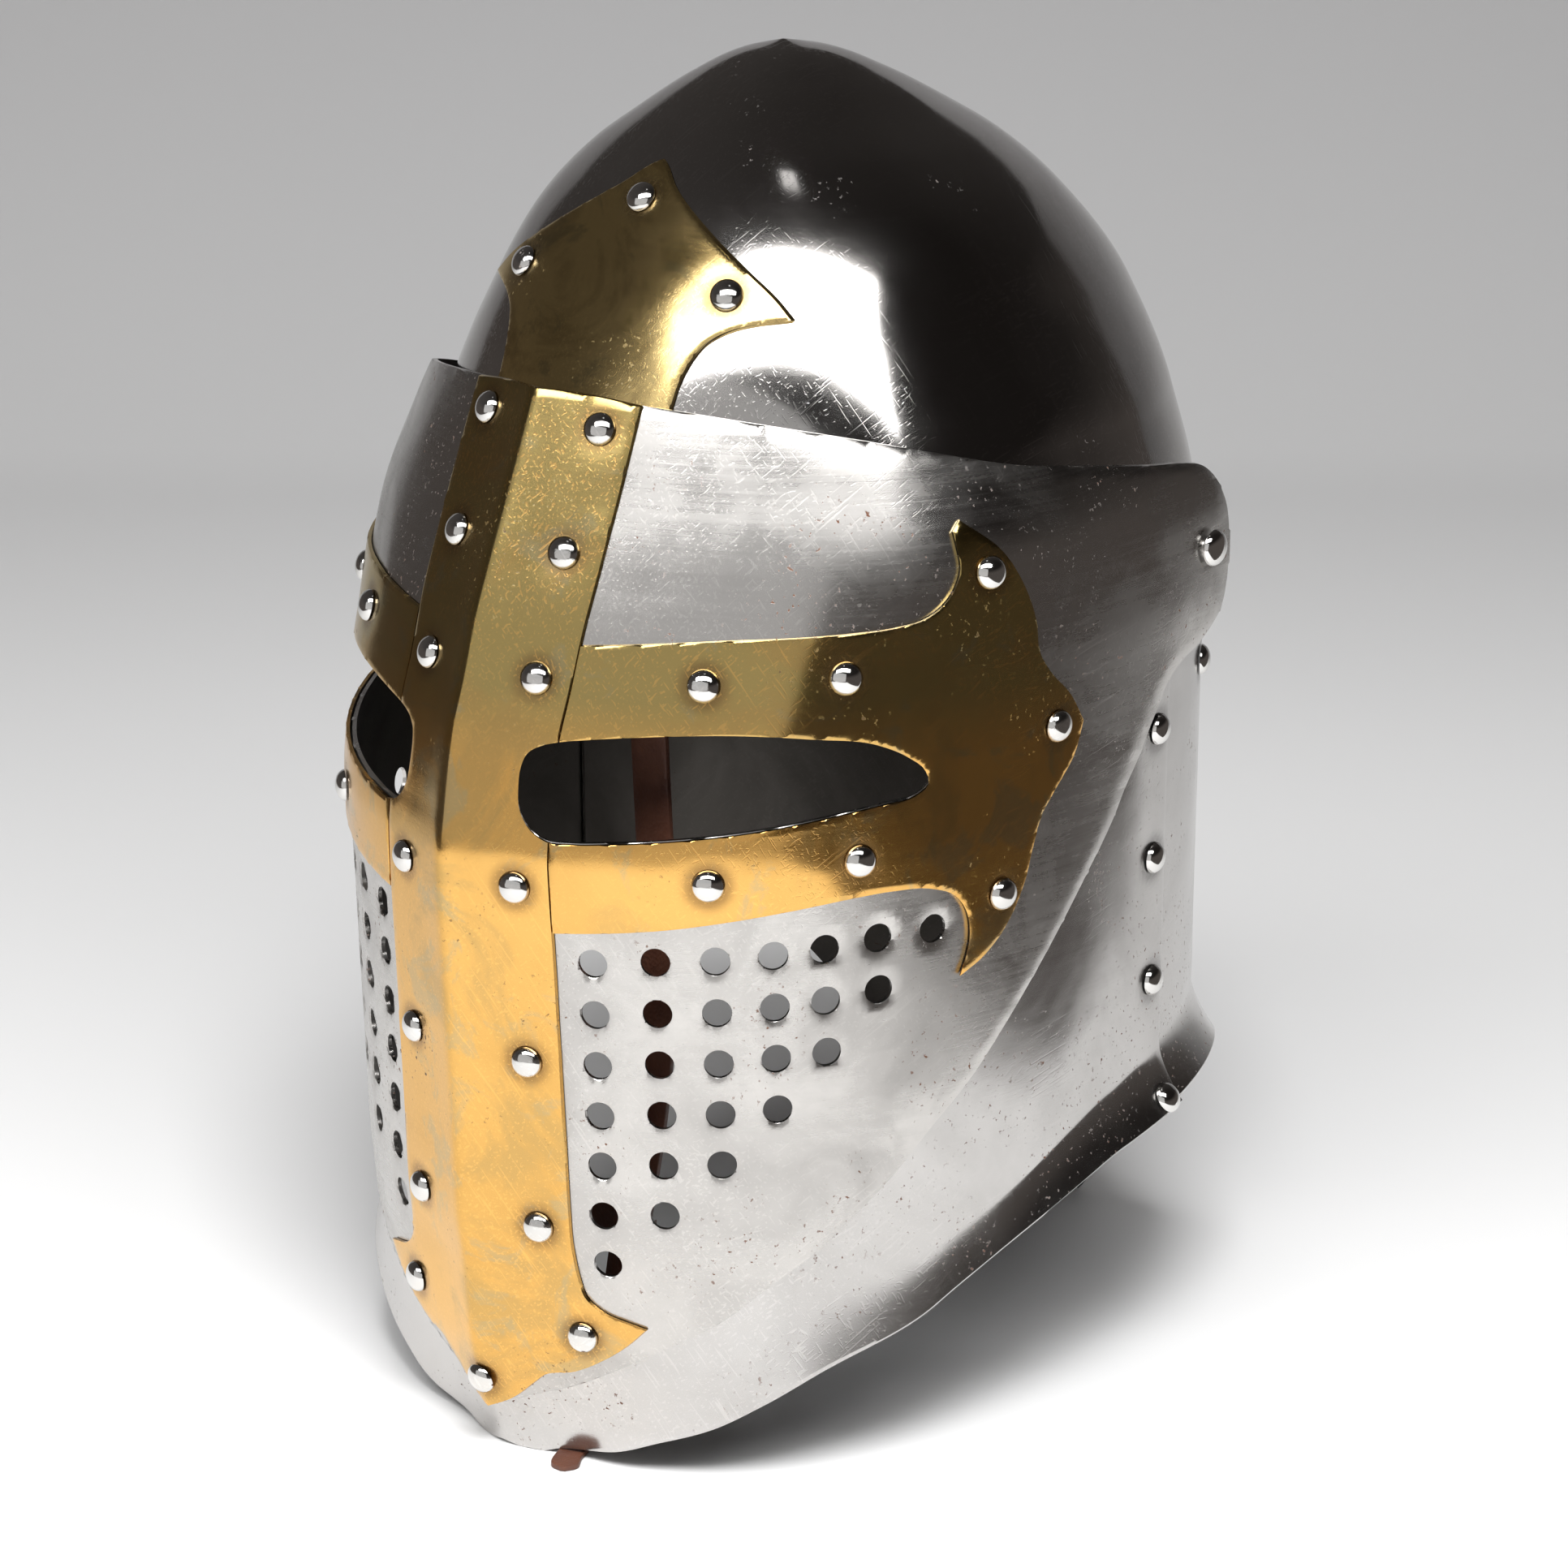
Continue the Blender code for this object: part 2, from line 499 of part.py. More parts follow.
# Pivots: a domed head outside each ear, a collar between ear and skull, and a peened end inside the skull.
def turned(name, profile, steps, mat, where=parts):
    """Turned solid from (along, radius) pairs; the axis is +X and the profile starts and ends on it."""
    mesh = bpy.data.meshes.new(name)
    mesh.from_pydata([(a, 0.0, r) for a, r in profile], [(i, i + 1) for i in range(len(profile) - 1)], [])
    obj = add_object(name + "_profile", mesh, None, where)
    mod = obj.modifiers.new("turn", 'SCREW')
    mod.axis = 'X'
    mod.steps = mod.render_steps = steps
    mod.use_merge_vertices = True
    mod.merge_threshold = 0.00001
    mod.use_normal_calculate = True
    solid = bpy.data.meshes.new_from_object(obj.evaluated_get(bpy.context.evaluated_depsgraph_get()))
    bpy.data.objects.remove(obj, do_unlink=True)
    bm = bmesh.new()
    bm.from_mesh(solid)
    bmesh.ops.remove_doubles(bm, verts=bm.verts, dist=0.00001)
    bmesh.ops.recalc_face_normals(bm, faces=bm.faces)
    bm.to_mesh(solid)
    bm.free()
    solid.name = name
    if mat:
        solid.materials.append(mat)
    solid.shade_smooth()
    solid.set_sharp_from_angle(angle=math.radians(40))
    return solid


def bearing_back(back, share, out, point, **extra):
    """Bearing past the side line at which a surface lies a given distance back from the axis."""
    low, high = 90.0, 179.0
    for _ in range(40):
        mid = (low + high) / 2
        if point(mid, share, out, **extra).y < back:
            low = mid
        else:
            high = mid
    return low


PIVOT_UP = float(column(BACK_EDGES, "upper").max()) * HEIGHT + PIVOT_ABOVE_BACK_PLATE
pivot_share = PIVOT_UP / HEIGHT
reach = PIVOT_COLLAR_RADIUS


def side_x(back, out, point, **extra):
    return point(bearing_back(back, pivot_share, out, point, **extra), pivot_share, out, **extra).x


skull_x = side_x(PIVOT_BACK - reach, 0.0, skull_point)
skull_inner_x = side_x(PIVOT_BACK + reach, -SKULL_PLATE, skull_point)
ear_inner_x = side_x(PIVOT_BACK + reach, VISOR_OUT - VISOR_PLATE, face_point, ear=True)
ear_outer_x = side_x(PIVOT_BACK - reach, VISOR_OUT, face_point, ear=True)
pivot_mesh = turned("pivot", [
    (skull_inner_x - PIVOT_SEAT_GAP - 1.5 * MM, 0.0),
    (skull_inner_x - PIVOT_SEAT_GAP - 1.5 * MM, PIVOT_COLLAR_RADIUS),
    (skull_inner_x - PIVOT_SEAT_GAP, PIVOT_COLLAR_RADIUS),
    (skull_inner_x - PIVOT_SEAT_GAP, PIVOT_SHANK_RADIUS),
    (skull_x + PIVOT_SEAT_GAP, PIVOT_SHANK_RADIUS),
    (skull_x + PIVOT_SEAT_GAP, PIVOT_COLLAR_RADIUS),
    (ear_inner_x - PIVOT_SEAT_GAP, PIVOT_COLLAR_RADIUS),
    (ear_inner_x - PIVOT_SEAT_GAP, PIVOT_SHANK_RADIUS),
    (ear_outer_x + PIVOT_SEAT_GAP, PIVOT_SHANK_RADIUS),
    (ear_outer_x + PIVOT_SEAT_GAP, PIVOT_HEAD_RADIUS),
    (ear_outer_x + PIVOT_SEAT_GAP + 0.75 * PIVOT_HEAD_HEIGHT, 0.62 * PIVOT_HEAD_RADIUS),
    (ear_outer_x + PIVOT_SEAT_GAP + PIVOT_HEAD_HEIGHT, 0.0),
], 12, RIVET)
bore_mesh = turned("pivot_bore", [
    (0.5 * HALF_WIDTH, 0.0), (0.5 * HALF_WIDTH, PIVOT_SHANK_RADIUS + PIVOT_BORE_CLEARANCE),
    (1.5 * HALF_WIDTH, PIVOT_SHANK_RADIUS + PIVOT_BORE_CLEARANCE), (1.5 * HALF_WIDTH, 0.0)], 12, None)
for side, tag in ((1, "left"), (-1, "right")):
    turn = Matrix.Identity(4) if side > 0 else Matrix.Rotation(math.pi, 4, 'Z')
    place = Matrix.Translation((0, PIVOT_BACK, PIVOT_UP)) @ turn
    pivot = add_object("pivot_" + tag, pivot_mesh, RIVET)
    pivot.matrix_world = place
    bore = as_cutter(add_object("pivot_bore_" + tag, bore_mesh, None, cutters))
    bore.matrix_world = place
    add_boolean(skull, bore, 'DIFFERENCE')
    add_boolean(visor, bore, 'DIFFERENCE')


# Brass cross: upright and arms lie on the visor, the arms butting against the upright.
def half_outline(table, wider=0.0):
    right = [(out * HALF_WIDTH + (wider if out else 0.0), up * HEIGHT) for out, up in table[1:]]
    return right + [(-x, z) for x, z in reversed(right) if x > 0]


upright_cutter = prism("cross_upright_outline", half_outline(UPRIGHT_OUTLINE), (0, 1, 0), -1.5 * KEEL_REACH, 0.0)
arm_stop = prism("cross_arm_stop", half_outline(UPRIGHT_OUTLINE, BUTT_GAP), (0, 1, 0), -1.5 * KEEL_REACH, 0.0)
arm_columns = tuple(b for b in FACE_COLUMNS if 7 <= b <= 90)
arms = []
for side, tag in ((1, "left"), (-1, "right")):
    patch = [[face_point(side * b, share, BRASS_OUT) for b in (arm_columns if side > 0 else arm_columns[::-1])]
             for share in reversed(FACE_ROWS) if 0.31 <= share <= 0.75]
    arm = add_object("cross_arm_" + tag, surface("cross_arm_" + tag, patch), BRASS)
    add_thickness(arm, BRASS_PLATE)
    smooth_by_angle(arm)
    direction = level_direction(side * ARM_DIRECTION)
    outline = []
    for b, up in ARM_OUTLINE[1:]:
        p = face_point(side * b, up, BRASS_OUT)
        outline.append((across_of(p, direction), p.z))
    arm_cutter = prism("cross_arm_outline_" + tag, outline, direction, 0.25 * KEEL_REACH, 1.5 * KEEL_REACH)
    add_boolean(arm, arm_cutter, 'INTERSECT')
    add_boolean(arm, slit_cutters[0 if side > 0 else 1], 'DIFFERENCE')
    add_boolean(arm, arm_stop, 'DIFFERENCE')
    arms.append(arm)

upright_columns = mirrored(tuple(b for b in FACE_COLUMNS if b <= 38))
patch = [[face_point(b, share, BRASS_OUT) for b in upright_columns] for share in reversed(FACE_ROWS)]
upright = add_object("cross_upright", surface("cross_upright", patch), BRASS)
add_thickness(upright, BRASS_PLATE)
smooth_by_angle(upright)
add_boolean(upright, upright_cutter, 'INTERSECT')
for cutter in slit_cutters:
    add_boolean(upright, cutter, 'DIFFERENCE')

finial_columns = mirrored(tuple(b for b in SKULL_COLUMNS if b <= 55))
finial_rows = [share for share in SKULL_ROWS if 0.72 <= share <= 0.96]
patch = [[raised_skull_point(b, share, SEAT_GAP + BRASS_PLATE) for b in finial_columns] for share in finial_rows]
finial = add_object("cross_finial_skull", surface("cross_finial_skull", patch), BRASS)
add_thickness(finial, BRASS_PLATE)
smooth_by_angle(finial)
finial_cutter = prism("cross_finial_outline", half_outline(SKULL_FINIAL_OUTLINE), (0, 1, 0), -1.5 * KEEL_REACH, 0.0)
add_boolean(finial, finial_cutter, 'INTERSECT')

# Rivets: domed heads seated on the plates.
rivet_mesh = turned("rivet", [(0.0, 0.0), (0.0, RIVET_RADIUS), (0.72 * RIVET_HEIGHT, 0.66 * RIVET_RADIUS), (RIVET_HEIGHT, 0.0)], 8, RIVET)


def add_rivet(name, point, bearing, share, out):
    n = normal_at(point, bearing, share, out)
    p = point(bearing, share, out) + n * SEAT_GAP
    rivet = add_object(name, rivet_mesh, RIVET)
    rivet.matrix_world = Matrix.Translation(p) @ n.to_track_quat('X', 'Z').to_matrix().to_4x4()
    return rivet


riding = [upright, *arms]
for side, tag in ((1, "left"), (-1, "right")):
    for k, (out_share, up) in enumerate(UPRIGHT_RIVETS[1:], 1):
        riding.append(add_rivet(f"rivet_upright_{tag}_{k}", face_point, side * bearing_at(out_share, up, BRASS_OUT), up, BRASS_OUT))
    for k, (out_share, up) in enumerate(ARM_RIVETS[1:], 1):
        riding.append(add_rivet(f"rivet_arm_{tag}_{k}", face_point, side * bearing_at(out_share, up, BRASS_OUT), up, BRASS_OUT))
    for k, (b, up) in enumerate(ARM_FINIAL_RIVETS[1:], len(ARM_RIVETS)):
        riding.append(add_rivet(f"rivet_arm_{tag}_{k}", face_point, side * b, up, BRASS_OUT))
    for k, (b, up) in enumerate(SEAM_RIVETS[1:], 1):
        add_rivet(f"rivet_seam_{tag}_{k}", lipped(BEVOR_EDGES), side * b, up, BEVOR_OUT)
    b, up = BACK_RIVET[1]
    add_rivet(f"rivet_back_{tag}", lipped(BACK_EDGES), side * b, up, BACK_OUT)
    out_share, up = SKULL_RIVETS[2]
    skull_brass = SEAT_GAP + BRASS_PLATE
    add_rivet(f"rivet_skull_{tag}", raised_skull_point, side * bearing_at(out_share, up, skull_brass, raised_skull_point), up, skull_brass)
riding.append(add_rivet("rivet_keel", face_point, 0.0, KEEL_RIVET_HEIGHT / HEIGHT, BRASS_OUT))
add_rivet("rivet_skull_top", raised_skull_point, 0.0, SKULL_RIVETS[1][1], SEAT_GAP + BRASS_PLATE)


# Leather strap: its tongue hangs inside the brow on the wearer's left and pokes out under the chin; the other
# half crosses under the wearer's chin and meets it from the right.
# Shares of HALF_WIDTH out, KEEL_REACH back from the axis, HEIGHT up and STRAP_WIDTH.
TONGUE = (
    ("out", "back", "up", "width"),
    (0.285, -0.643, 0.6650, 1.00), (0.285, -0.647, 0.6200, 1.00), (0.290, -0.652, 0.5500, 1.00), (0.322, -0.658, 0.3800, 1.00),
    (0.300, -0.664, 0.2700, 1.00), (0.230, -0.675, 0.1500, 1.00), (0.185, -0.692, 0.0550, 0.90), (0.168, -0.707, 0.0140, 0.75),
    (0.168, -0.738, -0.0040, 0.65), (0.174, -0.775, -0.0075, 0.60), (0.198, -0.830, -0.0075, 0.55), (0.226, -0.870, -0.0075, 0.52),
    (0.238, -0.888, -0.0075, 0.30),
)
BUCKLE_SIDE = (
    ("out", "back", "up", "width"),
    (-0.285, -0.643, 0.6650, 1.00), (-0.285, -0.647, 0.6200, 1.00), (-0.290, -0.652, 0.5500, 1.00), (-0.300, -0.652, 0.3600, 1.00),
    (-0.250, -0.650, 0.2500, 1.00), (-0.120, -0.645, 0.1800, 1.00), (0.020, -0.645, 0.1540, 1.00), (0.150, -0.648, 0.1500, 1.00),
    (0.290, -0.650, 0.1500, 1.00),
)


def band(name, table):
    """Flat leather band along a line of points, as one closed solid."""
    places = [Vector((out * HALF_WIDTH, back * KEEL_REACH, up * HEIGHT)) for out, back, up, _ in table[1:]]
    bm = bmesh.new()
    grid = []
    for i, (p, row) in enumerate(zip(places, table[1:])):
        run = (places[min(i + 1, len(places) - 1)] - places[max(i - 1, 0)]).normalized()
        flat = Vector((run.z, 0.0, -run.x)) if abs(run.z) > 0.5 or abs(run.x) > abs(run.y) else Vector((1.0, 0.0, 0.0))
        flat = (flat - run * flat.dot(run)).normalized()
        if flat.x < 0 or (abs(flat.x) < 0.3 and flat.z > 0):
            flat = -flat
        half = flat * row[3] * STRAP_WIDTH / 2
        grid.append((bm.verts.new(p - half), bm.verts.new(p + half)))
    for a, b in zip(grid, grid[1:]):
        bm.faces.new((a[0], b[0], b[1], a[1]))
    bmesh.ops.recalc_face_normals(bm, faces=bm.faces)
    mesh = bpy.data.meshes.new(name)
    bm.to_mesh(mesh)
    bm.free()
    obj = add_object(name, mesh, LEATHER)
    add_thickness(obj, STRAP_THICKNESS).offset = 0.0
    return obj


band("chin_strap_tongue", TONGUE)
band("chin_strap_buckle_side", BUCKLE_SIDE)

# Stand the helm on the floor with its middle over the origin, and hang the visor and all it carries on the pivots' line.
front = face_point(0.0, 0.465, BRASS_OUT).y
rear = face_point(180.0, 0.0, BACK_OUT + LIP_FLARE).y
stand = Matrix.Translation((0.0, -(front + rear) / 2, FLOOR_DROP))
bpy.context.view_layer.update()
for obj in list(parts.objects) + list(cutters.objects):
    obj.matrix_world = stand @ obj.matrix_world
hinge = Matrix.Translation((0.0, PIVOT_BACK, PIVOT_UP))
visor.data.transform(hinge.inverted())
visor.matrix_world = stand @ hinge
bpy.context.view_layer.update()
for obj in riding:
    obj.parent = visor
    obj.matrix_parent_inverse = visor.matrix_world.inverted()
bpy.context.view_layer.update()
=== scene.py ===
"""Sugarloaf great helm: polished steel plates, a pivoting visor with a riveted brass cross, a leather strap."""

import math
from functools import partial

import bmesh
import bpy
import numpy as np
from mathutils import Matrix, Vector, kdtree, noise


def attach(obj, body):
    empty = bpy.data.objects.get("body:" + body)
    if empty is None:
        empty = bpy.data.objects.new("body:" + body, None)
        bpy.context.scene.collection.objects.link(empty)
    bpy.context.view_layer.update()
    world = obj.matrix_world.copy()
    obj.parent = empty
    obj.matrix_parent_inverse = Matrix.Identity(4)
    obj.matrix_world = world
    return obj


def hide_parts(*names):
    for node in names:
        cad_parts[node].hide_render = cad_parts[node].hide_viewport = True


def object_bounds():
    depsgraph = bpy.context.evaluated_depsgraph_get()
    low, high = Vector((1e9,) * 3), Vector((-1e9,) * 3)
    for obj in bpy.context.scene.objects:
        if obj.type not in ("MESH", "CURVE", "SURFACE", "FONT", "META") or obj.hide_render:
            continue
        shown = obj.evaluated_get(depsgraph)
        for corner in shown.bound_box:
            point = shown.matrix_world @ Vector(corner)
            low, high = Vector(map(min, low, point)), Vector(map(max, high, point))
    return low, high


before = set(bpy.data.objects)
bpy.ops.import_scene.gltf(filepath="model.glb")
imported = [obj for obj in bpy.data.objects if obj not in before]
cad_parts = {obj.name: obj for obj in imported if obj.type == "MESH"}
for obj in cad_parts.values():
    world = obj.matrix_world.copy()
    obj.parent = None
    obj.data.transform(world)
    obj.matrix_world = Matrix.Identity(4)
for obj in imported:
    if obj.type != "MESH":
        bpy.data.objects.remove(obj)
cad_low, cad_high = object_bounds()
bpy.ops.object.select_all(action='DESELECT')

# Skull
# The innermost plate: one sheet of mild steel raised to a point over a stake, planished and polished bright.
# It runs down behind the visor in front and inside the neck plates behind.

MM = 0.001
HEIGHT = 393.3 * MM
HALF_WIDTH = 111.6 * MM
BACK_REACH = 126.4 * MM
KEEL_REACH = 148.3 * MM
BROW_SPACE = 38.3 * MM
FRONT_REACH = KEEL_REACH - BROW_SPACE
CENTRE_SET_BACK = 15.0 * MM
BACK_SQUARENESS = 2.25
SKULL_PLATE = BACK_PLATE = BEVOR_PLATE = VISOR_PLATE = 1.6 * MM
BRASS_PLATE = 1.2 * MM
SEAT_GAP = 0.35 * MM
BUTT_GAP = 0.45 * MM
VISOR_CLEARANCE = 1.0 * MM
LIP_FLARE = 8.0 * MM
FLOOR_DROP = 3.8 * MM
BACK_OUT = SEAT_GAP + BACK_PLATE
BEVOR_OUT = BACK_OUT + SEAT_GAP + BEVOR_PLATE
VISOR_OUT = BEVOR_OUT + VISOR_CLEARANCE + VISOR_PLATE
BRASS_OUT = VISOR_OUT + SEAT_GAP + BRASS_PLATE
SIDES = ((1, "left"), (-1, "right"))

# Shares of HEIGHT, HALF_WIDTH, FRONT_REACH, BACK_REACH and CENTRE_SET_BACK, then the front's squareness.
SECTIONS = (
    ("height", "half_width", "front", "back", "centre", "squareness"),
    (0.0000, 0.986, 1.040, 1.000, 1.00, 2.00),
    (0.2500, 0.986, 1.040, 1.000, 1.00, 2.00),
    (0.5100, 0.987, 1.040, 1.002, 1.00, 2.00),
    (0.5600, 0.991, 1.040, 1.006, 1.00, 2.00),
    (0.6080, 0.998, 1.018, 1.006, 0.80, 2.00),
    (0.6585, 0.996, 0.970, 1.000, 0.33, 2.00),
    (0.7348, 0.912, 0.878, 0.985, 0.00, 2.00),
    (0.8111, 0.768, 0.762, 0.920, 0.00, 2.15),
    (0.8874, 0.615, 0.590, 0.710, 0.00, 2.25),
    (0.9255, 0.480, 0.481, 0.562, 0.00, 2.25),
    (0.9510, 0.352, 0.380, 0.424, 0.00, 2.25),
    (0.9760, 0.224, 0.240, 0.262, 0.00, 2.20),
    (0.9930, 0.105, 0.110, 0.120, 0.00, 2.10),
    (1.0000, 0.000, 0.000, 0.000, 0.00, 2.00),
)
SKULL_LOWER_EDGE = (
    ("bearing", "height"), (0.0, 0.602), (66.0, 0.602), (80.0, 0.560), (94.0, 0.524), (180.0, 0.524),
)


def column(table, name):
    k = table[0].index(name)
    return np.array([row[k] for row in table[1:]], dtype=float)


def cubic_shares(t):
    """What the start, its slope, the end and its slope give to a cubic at t from 0 to 1."""
    return 2 * t**3 - 3 * t**2 + 1, t**3 - 2 * t**2 + t, 3 * t**2 - 2 * t**3, t**3 - t**2


def curve(table, along, name):
    """Monotone cubic through two columns of a table."""
    x, y = column(table, along), column(table, name)
    h, d = np.diff(x), np.diff(y) / np.diff(x)
    m = np.concatenate([[d[0]], np.zeros(len(d) - 1), [d[-1]]])
    for i in range(1, len(d)):
        if d[i - 1] * d[i] > 0:
            a, b = 2 * h[i] + h[i - 1], h[i] + 2 * h[i - 1]
            m[i] = (a + b) / (a / d[i - 1] + b / d[i])

    def value(at):
        at = min(max(at, x[0]), x[-1])
        i = min(int(np.searchsorted(x, at, side="right")) - 1, len(h) - 1)
        p, q, r, s = cubic_shares((at - x[i]) / h[i])
        return float(p * y[i] + q * h[i] * m[i] + r * y[i + 1] + s * h[i] * m[i + 1])
    return value


half_width, front_reach, back_reach, centre, squareness = (
    curve(SECTIONS, "height", name) for name in SECTIONS[0][1:])
skull_edge = curve(SKULL_LOWER_EDGE, "bearing", "height")


def skull_point(bearing, share, out=0.0):
    """Point of the skull's outer face, moved out by a distance in plan."""
    s, c = math.sin(math.radians(abs(bearing))), math.cos(math.radians(bearing))
    yc = centre(share) * CENTRE_SET_BACK
    w = half_width(share) * HALF_WIDTH + out
    if c >= 0:
        n, reach = squareness(share), front_reach(share) * FRONT_REACH + yc + out
    else:
        n, reach = BACK_SQUARENESS, back_reach(share) * BACK_REACH - yc + out
    x = w * abs(s) ** (2 / n)
    y = yc - math.copysign(reach * abs(c) ** (2 / n), c)
    return Vector((math.copysign(x, bearing), y, share * HEIGHT))


def normal_at(point, bearing, share, out):
    a = point(bearing + 0.5, share, out) - point(bearing - 0.5, share, out)
    b = point(bearing, share + 0.004, out) - point(bearing, share - 0.004, out)
    return a.cross(b).normalized()


# Marks of the planishing hammer and of the wheel: mean depth, and how many waves there are in a metre.
HAMMER_DEPTH, HAMMER_WAVES = 0.13 * MM, 22.0
WHEEL_DEPTH, WHEEL_WAVES, WHEEL_SHIFT = 0.035 * MM, 60.0, Vector((3.1, 7.7, 1.3))
SMOOTH_TIP, FULL_MARKS = 4 * MM, 30 * MM


def planished(point):
    """A plate's form with the slow waves that hammer and polishing wheel leave in it, less near the very tip."""
    def waved(bearing, share, out, **extra):
        p = point(bearing, share, out, **extra)
        away = Vector((p.x, p.y, 0.0))
        if away.length < SMOOTH_TIP:
            return p
        deep = HAMMER_DEPTH * (1 - noise.noise(p * HAMMER_WAVES))
        deep += WHEEL_DEPTH * (1 - noise.noise(p * WHEEL_WAVES + WHEEL_SHIFT))
        return p - away.normalized() * deep * min(1.0, away.length / FULL_MARKS)
    return waved


WELD = 0.02 * MM


def formed_sheet(name, columns, rows, place):
    """Flat grid bent to its form; place takes shares along its two sides."""
    bpy.ops.mesh.primitive_grid_add(x_subdivisions=columns, y_subdivisions=rows, size=2.0)
    obj = bpy.context.active_object
    obj.name = obj.data.name = name
    flat = np.zeros(len(obj.data.vertices) * 3)
    obj.data.vertices.foreach_get("co", flat)
    formed = np.array([place((x + 1) / 2, (y + 1) / 2) for x, y, _ in flat.reshape(-1, 3)])
    obj.data.vertices.foreach_set("co", formed.ravel())
    bpy.ops.object.mode_set(mode='EDIT')
    bpy.ops.mesh.select_all(action='SELECT')
    bpy.ops.mesh.remove_doubles(threshold=WELD)
    bpy.ops.mesh.normals_make_consistent(inside=False)
    bpy.ops.object.mode_set(mode='OBJECT')
    return obj


def picked(obj):
    bpy.ops.object.select_all(action='DESELECT')
    bpy.context.view_layer.objects.active = obj
    obj.select_set(True)


def plate(name, columns, rows, place, thickness, outside):
    """Sheet metal: the formed sheet is its outer face, and its thickness goes inwards to an unpolished face."""
    obj = formed_sheet(name, columns, rows, place)
    obj.data.materials.append(outside)
    obj.data.materials.append(inside_steel)
    face = obj.data.polygons[len(obj.data.polygons) // 2]
    if face.normal.dot(Vector((face.center.x, face.center.y, 0.0))) < 0:
        obj.data.flip_normals()
    solid = obj.modifiers.new("thickness", 'SOLIDIFY')
    solid.thickness = thickness
    solid.offset = -1.0
    solid.use_even_offset = True
    solid.material_offset = 1
    picked(obj)
    bpy.ops.object.modifier_apply(modifier=solid.name)
    return obj


def cut(obj, cutter, operation='DIFFERENCE'):
    mod = obj.modifiers.new("cut", 'BOOLEAN')
    mod.operation = operation
    mod.solver = 'EXACT'
    mod.object = cutter
    picked(obj)
    bpy.ops.object.modifier_apply(modifier=mod.name)


SHARP = math.radians(50)


def eased(obj, depth):
    """Files the outer edges of a plate down a little, so that they catch the light."""
    bm = bmesh.new()
    bm.from_mesh(obj.data)
    bm.normal_update()
    rim = [v for v in bm.verts if not any(f.material_index == 1 for f in v.link_faces)
           and any(len(e.link_faces) == 2 and e.calc_face_angle() > SHARP for e in v.link_edges)]
    for v in rim:
        away = Vector((v.co.x, v.co.y, 0.0))
        facing = sum((f.normal for f in v.link_faces if f.normal.dot(away) > 0.5 * away.length), Vector())
        if facing.length > 0:
            v.co -= facing.normalized() * depth
    bm.to_mesh(obj.data)
    bm.free()


def scrap(*objs):
    for obj in objs:
        bpy.data.objects.remove(obj, do_unlink=True)


# The part stands on the floor with its middle over the origin; forms here are worked out before that move.
STAND = Vector((0.0, 0.00675, 0.0038))


def note_grime_and_shade(obj, spots):
    """Stores how near each point is to a rivet's head, where polish and dirt collect and where painted shade
    darkens the plate as if the head shaded it, fading over fade * reach.
    """
    reach, fade = 5 * MM, 0.45
    near = np.zeros(len(obj.data.vertices), np.float32)
    if spots:
        tree = kdtree.KDTree(len(spots))
        for i, spot in enumerate(spots):
            tree.insert(spot, i)
        tree.balance()
        for i, v in enumerate(obj.data.vertices):
            apart = tree.find(v.co)[2]
            near[i] = 1.0 if apart < reach else math.exp(-((apart - reach) / (fade * reach)) ** 2)
    obj.data.attributes.new("grime_and_shade", 'FLOAT', 'POINT').data.foreach_set("value", near)


def finished(obj, material, body, *nodes, seats=(), angle=32):
    """Smooths a piece, stands it in the plain solids' box with the rest of the helm, and replaces its solid."""
    note_grime_and_shade(obj, [seat for seat, _ in seats])
    obj.data.transform(Matrix.Translation(STAND))
    for v in obj.data.vertices:
        v.co = [min(max(at, low), high) for at, low, high in zip(v.co, cad_low, cad_high)]
    picked(obj)
    bpy.ops.object.shade_smooth_by_angle(angle=math.radians(angle))
    if material:
        obj.data.materials.append(material)
    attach(obj, body)
    if nodes:
        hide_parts(*nodes)
    return obj


def node_math(tree, kind, a, b, clamp=False):
    n = tree.nodes.new('ShaderNodeMath')
    n.operation, n.use_clamp = kind, clamp
    for i, value in enumerate((a, b)):
        if isinstance(value, (int, float)):
            n.inputs[i].default_value = value
        else:
            tree.links.new(value, n.inputs[i])
    return n.outputs[0]


def node_noise(tree, vector, scale, detail=2.0, rough=0.5, distort=0.0):
    n = tree.nodes.new('ShaderNodeTexNoise')
    n.inputs["Detail"].default_value = detail
    n.inputs["Roughness"].default_value = rough
    n.inputs["Distortion"].default_value = distort
    tree.links.new(vector, n.inputs["Vector"])
    if isinstance(scale, (int, float)):
        n.inputs["Scale"].default_value = scale
    else:
        tree.links.new(scale, n.inputs["Scale"])
    return n.outputs["Fac"]


def node_above(tree, value, low, high):
    n = tree.nodes.new('ShaderNodeMapRange')
    n.clamp = True
    n.inputs["From Min"].default_value, n.inputs["From Max"].default_value = low, high
    tree.links.new(value, n.inputs["Value"])
    return n.outputs["Result"]


def node_mix(tree, factor, a, b):
    n = tree.nodes.new('ShaderNodeMix')
    n.data_type = 'RGBA'
    for socket, value in ((n.inputs[0], factor), (n.inputs[6], a), (n.inputs[7], b)):
        if isinstance(value, tuple):
            socket.default_value = (*value, 1.0)
        elif isinstance(value, (int, float)):
            socket.default_value = value
        else:
            tree.links.new(value, socket)
    return n.outputs[2]


